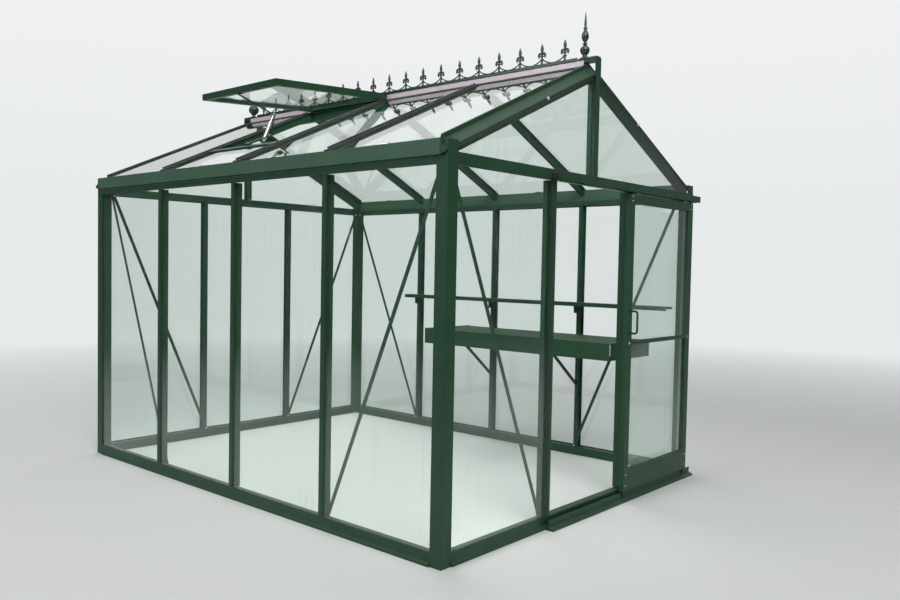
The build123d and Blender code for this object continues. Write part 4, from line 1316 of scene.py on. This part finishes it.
jamb_side, brush_ends = bay / 2 + 0.012, (sill_top + 0.01, beam_low - 0.03)
brush_lines = [([Vector((x, -frame_out, z)) for z in brush_ends], False)
               for x in (-jamb_side, jamb_side)]
run_tree(line_object("brush_strips", brush_lines), build_pile_tree(),
         {"Tuft": one_tuft(), "Spacing": 0.0035, "Lean": 0.18, "Seed": 4, "Finish": brush_pile},
         "house")

# %% [markdown]
# ## The pattern pieces go
# One screw, one nut, one fleur, one clip and one tuft were only there to be copied. The trees have
# run and their meshes are kept, so the patterns are removed and do not stand at the origin.

# %% Put the pattern pieces away
for template in [o for o in bpy.data.objects if o.name.startswith("one_")]:
    bpy.data.objects.remove(template)

# %% [markdown]
# ## Floor, world and lamps
# The floor is a large pale disc that fades into the background, so no horizon line cuts through
# the glass. Only rays that reach the camera directly, by reflection or through glass see the plain
# background: the light on the house comes from the lamps and a dim world, so whites do not clip.
# Who photographs glass keeps the room dark behind the camera, or each pane would mirror it as a
# milky veil. So reflections see the pale backdrop in front of the camera and overhead, and a
# darker room elsewhere.

# %% Floor and world
backdrop, overhead_white = (0.80, 0.82, 0.83, 1), (1.0, 1.0, 1.0, 1)
facing_backdrop = (0.754, 0.657, 0.0)
dark_room, room_edge = 0.10, (0.3, 0.8)
floor_radius, fade_from, fade_to = 60.0, 3.6, 10.5
cool_white, dim_light = (0.93, 0.97, 1.0, 1), 0.32


def seen_rays(tree):
    """One for the rays that show the background: from the camera, reflected or through glass."""
    rays = put(tree, "ShaderNodeLightPath").outputs
    first = maths(tree, "MAXIMUM", rays["Is Camera Ray"], rays["Is Glossy Ray"])
    return maths(tree, "MAXIMUM", first, rays["Is Transmission Ray"])


def room_level(tree, direction, height):
    """Strength of the background: plain, but for reflections it falls off behind the camera."""
    flat = put(tree, "ShaderNodeVectorMath", {0: direction}, operation="NORMALIZE").outputs[0]
    ahead = put(tree, "ShaderNodeVectorMath", {0: flat, 1: facing_backdrop},
                operation="DOT_PRODUCT").outputs["Value"]
    front = remap(tree, ahead, *room_edge, dark_room, 1.0)
    overhead = remap(tree, height, *room_edge, dark_room, 1.0)
    mirrored = put(tree, "ShaderNodeLightPath").outputs["Is Glossy Ray"]
    not_mirrored = maths(tree, "SUBTRACT", 1.0, mirrored)
    return maths(tree, "MAXIMUM", not_mirrored, maths(tree, "MAXIMUM", front, overhead))


def floor_finish():
    made, tree, shader, out = surface("pale_floor")
    coords = object_coords(tree)
    grain = remap(tree, noise(tree, coords, 40.0, 6.0), 0.3, 0.7, 0.0, 0.05)
    colour = mix_colour(tree, grain, (0.64, 0.65, 0.65, 1), (0.56, 0.56, 0.56, 1))
    tree.links.new(colour, shader.inputs["Base Color"])
    shader.inputs["Roughness"].default_value = 0.85
    away = put(tree, "ShaderNodeVectorMath", {0: coords}, operation="LENGTH").outputs["Value"]
    fade = times(tree, remap(tree, away, fade_from, fade_to), seen_rays(tree))
    glow = put(tree, "ShaderNodeEmission", {"Color": backdrop,
                                            "Strength": room_level(tree, coords, 0.0)})
    both = put(tree, "ShaderNodeMixShader", {0: fade, 1: shader.outputs[0], 2: glow.outputs[0]})
    tree.links.new(both.outputs[0], out.inputs["Surface"])
    return made


bm = bmesh.new()
bmesh.ops.create_circle(bm, cap_ends=True, segments=96, radius=floor_radius)
floor = as_object("floor", bm)
floor.data.transform(Matrix.Translation((0, length / 2, 0)))
if floor.data.polygons[0].normal.z < 0:
    floor.data.flip_normals()
floor.data.materials.append(floor_finish())

world = bpy.data.worlds.new("studio")
bpy.context.scene.world = world
world.use_nodes = True
sky = world.node_tree
sky.nodes.clear()
towards = put(sky, "ShaderNodeTexCoord").outputs["Generated"]
up = put(sky, "ShaderNodeSeparateXYZ", {0: towards}).outputs["Z"]
dome = mix_colour(sky, remap(sky, up, 0.05, 0.75), backdrop, overhead_white)
plain = put(sky, "ShaderNodeBackground", {"Color": dome, "Strength": room_level(sky, towards, up)})
dim = put(sky, "ShaderNodeBackground", {"Color": cool_white, "Strength": dim_light})
chosen = put(sky, "ShaderNodeMixShader", {0: seen_rays(sky), 1: dim.outputs[0],
                                          2: plain.outputs[0]})
put(sky, "ShaderNodeOutputWorld", {"Surface": chosen.outputs[0]})
print("floor fades from", fade_from, "to", fade_to, "m, world", world.name)

# %% Lamps
def soft_lamp(name, place, target, size, power, colour):
    lamp = bpy.data.lights.new(name, "AREA")
    lamp.shape, lamp.size, lamp.energy, lamp.color = "DISK", size, power, colour
    made = in_scene(name, lamp)
    made.location = place
    made.rotation_euler = (Vector(target) - Vector(place)).to_track_quat("-Z", "Y").to_euler()


middle = (0, length / 2, 1.1)
soft_lamp("key", (-4.6, -5.4, 8.2), middle, 5.0, 640, (1.0, 0.975, 0.94))
soft_lamp("side", (-9.0, 4.0, 4.5), middle, 5.0, 200, (0.94, 0.97, 1.0))
soft_lamp("top", (1.5, 5.0, 8.5), middle, 5.0, 180, (1.0, 1.0, 1.0))

# %% [markdown]
# ## Camera
# The photograph was taken from the left of the door at chest height. A camera matched to it needs
# a place, a lens and three angles: the turn from the house's long axis, the tilt and a slight roll.
# The rotation is built from its three axes, which avoids guessing an order of Euler angles.

# %% Camera
camera_place = Vector((-3.6744, -2.2582, 1.2669))
turn, tilt, roll = radians(48.902), radians(2.311), radians(1.083)
ahead = Vector((sin(turn) * cos(tilt), cos(turn) * cos(tilt), -sin(tilt)))
rightward = Vector((cos(turn), -sin(turn), 0))
upward = rightward.cross(ahead)
camera_x = rightward * cos(roll) + upward * sin(roll)
camera_y = upward * cos(roll) - rightward * sin(roll)
lens = bpy.data.cameras.new("photo_view")
lens.sensor_width, lens.lens, lens.clip_end = 36.0, 32.803, 200.0
camera = in_scene("photo_view", lens)
camera.matrix_world = turned_to(camera_place, camera_x, camera_y, -ahead)
bpy.context.scene.camera = camera
bpy.context.scene.view_settings.view_transform = "Standard"
print("camera at", [round(v, 3) for v in camera.location])
